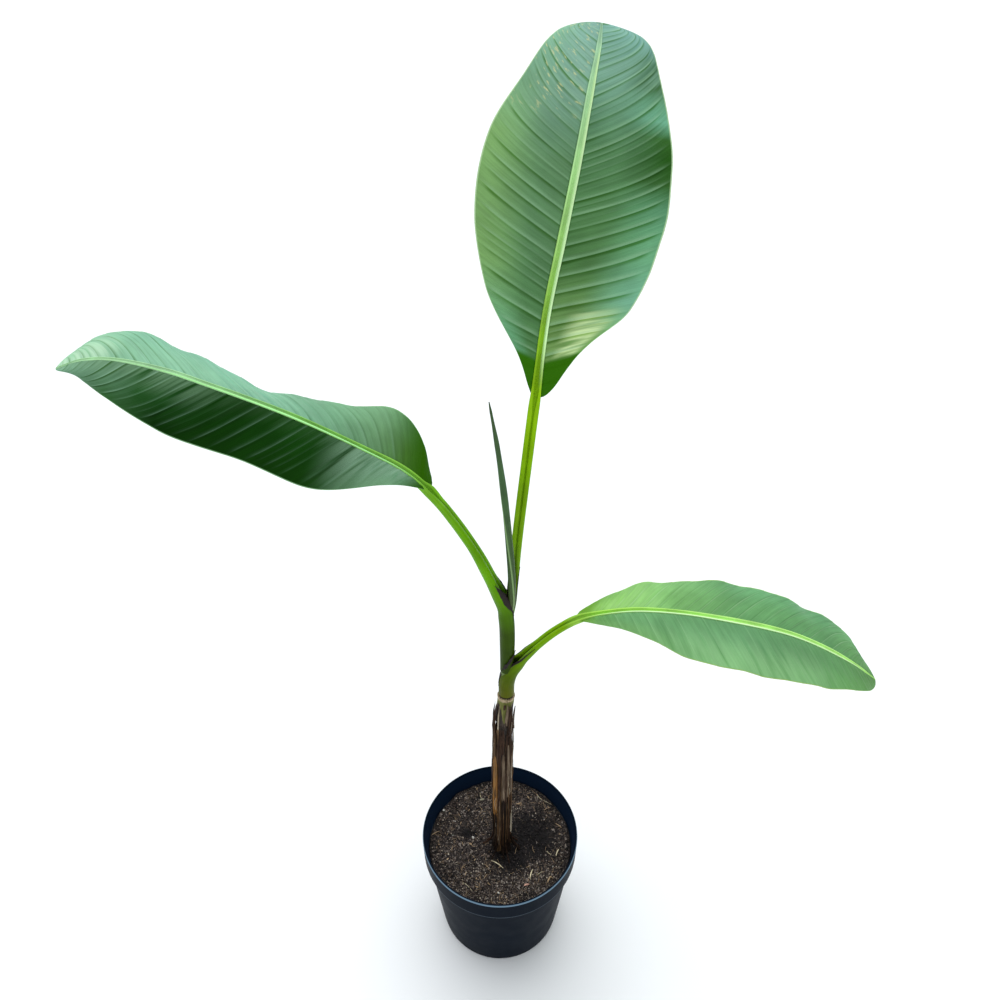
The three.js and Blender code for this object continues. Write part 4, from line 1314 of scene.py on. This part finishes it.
def soil_fibres(heap, rng, count, lengths, thickness, slots, rise=(0.0, 0.35)):
    """Bent fibres that lie on the soil or stick out of it a little."""
    v = np.linspace(-0.5, 0.5, 6)
    for spot in soil_spots(rng, count, 7.0):
        length = rng.uniform(*lengths)
        turn = rng.uniform(0, 2 * math.pi)
        path = on_soil(laid(spot[:2], length, turn, v, 0.5 * rng.uniform(-0.25, 0.25)))
        tilt = rng.uniform(*rise) * length
        path[:, 2] = lerp(path[:, 2], path[:, 2].mean(), 0.6) + 0.4 + (v + 0.5) * tilt
        if np.hypot(*path[:, :2].T).max() <= soil_reach(SOIL["level"]) - 2:
            ring = tube(path, rng.uniform(*thickness) * np.array([0.5, 1, 1, 0.9, 0.7, 0.4]), 4)
            heap.limb(ring, soil_slot(rng, spot, slots))


def straws(heap):
    """The larger straws and chips, each lying where it shows."""
    v = np.linspace(-0.5, 0.5, 7)
    for x, y, length, turn, thickness, slot in STRAWS:
        path = on_soil(laid((x, y), length, math.radians(turn), v, 0.06))
        path[:, 2] = lerp(path[:, 2], path[:, 2].max(), 0.7) + thickness + 0.6
        ring = tube(path, thickness * np.array([0.4, 0.8, 1, 1, 0.9, 0.7, 0.35]), 6)
        heap.limb(ring, slot)


def chips(heap, rng, count, slots):
    """Thin flat flakes of wood and husk."""
    v = np.linspace(-0.5, 0.5, 4)[:, None]
    across = np.array([-0.5, 0, 0.5])
    for spot in soil_spots(rng, count, 6.0):
        length, width = rng.uniform(2.5, 7), rng.uniform(1, 2.4)
        turn = random_turn(rng, (1, 1, 0.35))
        breadth = width * across * (1 - 1.4 * v ** 2)
        layers = [grid(length * v, breadth, level + 0.3 * length * v ** 2) @ turn
                  for level in (0.25, -0.25)]
        heap.shell(np.stack(layers) + spot + [0, 0, 0.8], soil_slot(rng, spot, slots))


def soil_look(name, tones, depth=0.5, wet=False):
    look = Look(name, 0.9, 0.25)
    fine = look.noise(look.place, 420, 6.0, 0.7)
    colour = look.varied(look.tones(fine, (0.38, 0.5, 0.64), tones), 0.25, 28)
    if wet:
        share, *_ = look.marks()
        colour = look.mix(share * 0.86, colour, (8, 7, 9))
    return look.finish(colour, fine, depth)


def soil_dressing(rng):
    """Crumbs, fibres, chips, straws and white beads on the soil."""
    heap = Heap()
    for kind, slots in (("large", [0, 0, 0, 1, 1, 2]), ("small", [0, 0, 1, 1, 2, 3])):
        count, sizes = CRUMBS[kind]
        crumbs(heap, rng, soil_spots(rng, count), sizes, slots)
    looks = [soil_look(f"crumb_{name}", tones) for name, tones in CRUMB_COLOURS.items()]
    heap.piece("soil_crumbs", looks, "soil", sharp=60)
    heap = Heap()
    small = [STRAW_DARK, STRAW_BROWN, STRAW_BROWN, STRAW_TAN]
    soil_fibres(heap, rng, *FIBRES["short"], small, (0, 0.25))
    soil_fibres(heap, rng, *FIBRES["long"], [STRAW_TAN, STRAW_PALE])
    chips(heap, rng, CHIPS, small)
    straws(heap)
    looks = [plain_look(name, colour) for name, colour in STRAW_COLOURS.items()]
    heap.piece("soil_fibres", looks, "soil", sharp=60)
    heap = Heap()
    count, sizes = CRUMBS["beads"]
    crumbs(heap, rng, soil_spots(rng, count), sizes, [0], (0.8, 1.0), 0.1)
    crumbs(heap, rng, on_soil(np.array(WHITE_BITS)), WHITE_SIZES, [0], (0.9, 1.0), -0.2)
    heap.piece("soil_perlite", [plain_look("perlite", (214, 210, 202), 0.9, 0.12)], "soil", sharp=60)


# ---------------- the plant

rng = np.random.default_rng(7)
pot_piece(pot_look())
soil_piece(soil_look("soil_bed", SOIL_TONES, 0.9, wet=True))
soil_dressing(rng)
stem_piece(stem_look())
dry_bark(rng)
collar_piece(collar_look(), rng)

papery = Heap()
for name, leaf in LEAVES.items():
    look = stalk_look(f"{name}_stalk", STALK_RAMPS[name], RIB_HIGHLIGHTS[name])
    stalk_piece(f"{name}_stalk", leaf, [f"stalk_{name}"], look)
    margin_ribbons(papery, leaf, rng)
papery_flap(papery)
papery.piece("sheath_margins", [plain_look("papery_margin", (28, 18, 13), 0.7, 0.5, 220)], "dry_sheath")
rolled_leaf(rolled_look())
for name, leaf in LEAVES.items():
    halves = Heap()
    for side in SIGN:
        blade_half(halves, leaf, side, rng)
    look = blade_look(f"{name}_blade", BLADE_TINTS[name])
    halves.piece(f"{name}_blade", [look], "blade", [f"leaf_{name}"])

# ---------------- floor, light and camera

bpy.ops.mesh.primitive_plane_add(size=60)
floor = bpy.context.object
floor.name = "floor"
floor_look = Look("floor", 0.8, 0.1)
floor.data.materials.append(floor_look.finish(floor_look.varied((243, 244, 245), 0.01, 3)))

scene = bpy.context.scene
scene.view_settings.view_transform = "Standard"
scene.world = bpy.data.worlds.new("studio")
scene.world.use_nodes = True
backdrop = scene.world.node_tree.nodes["Background"]
backdrop.inputs["Color"].default_value = SKY["colour"]
backdrop.inputs["Strength"].default_value = SKY["strength"]

sun = placed("sky_light", bpy.data.lights.new("sky_light", "SUN"))
sun.data.energy = SUN["energy"]
sun.data.color = SUN["colour"]
sun.data.angle = math.radians(SUN["spread"])
height, turn = math.radians(SUN["elevation"]), math.radians(SUN["azimuth"])
towards = Vector((math.sin(turn) * math.cos(height), math.cos(turn) * math.cos(height), math.sin(height)))
sun.rotation_euler = towards.to_track_quat("Z", "Y").to_euler()

camera = placed("camera", bpy.data.cameras.new("camera"))
camera.data.lens = CAMERA["lens"]
camera.data.sensor_width = CAMERA["sensor"]
camera.location = CAMERA["place"]
camera.rotation_euler = (math.radians(90 - CAMERA["looks_down"]), 0, 0)
scene.camera = camera
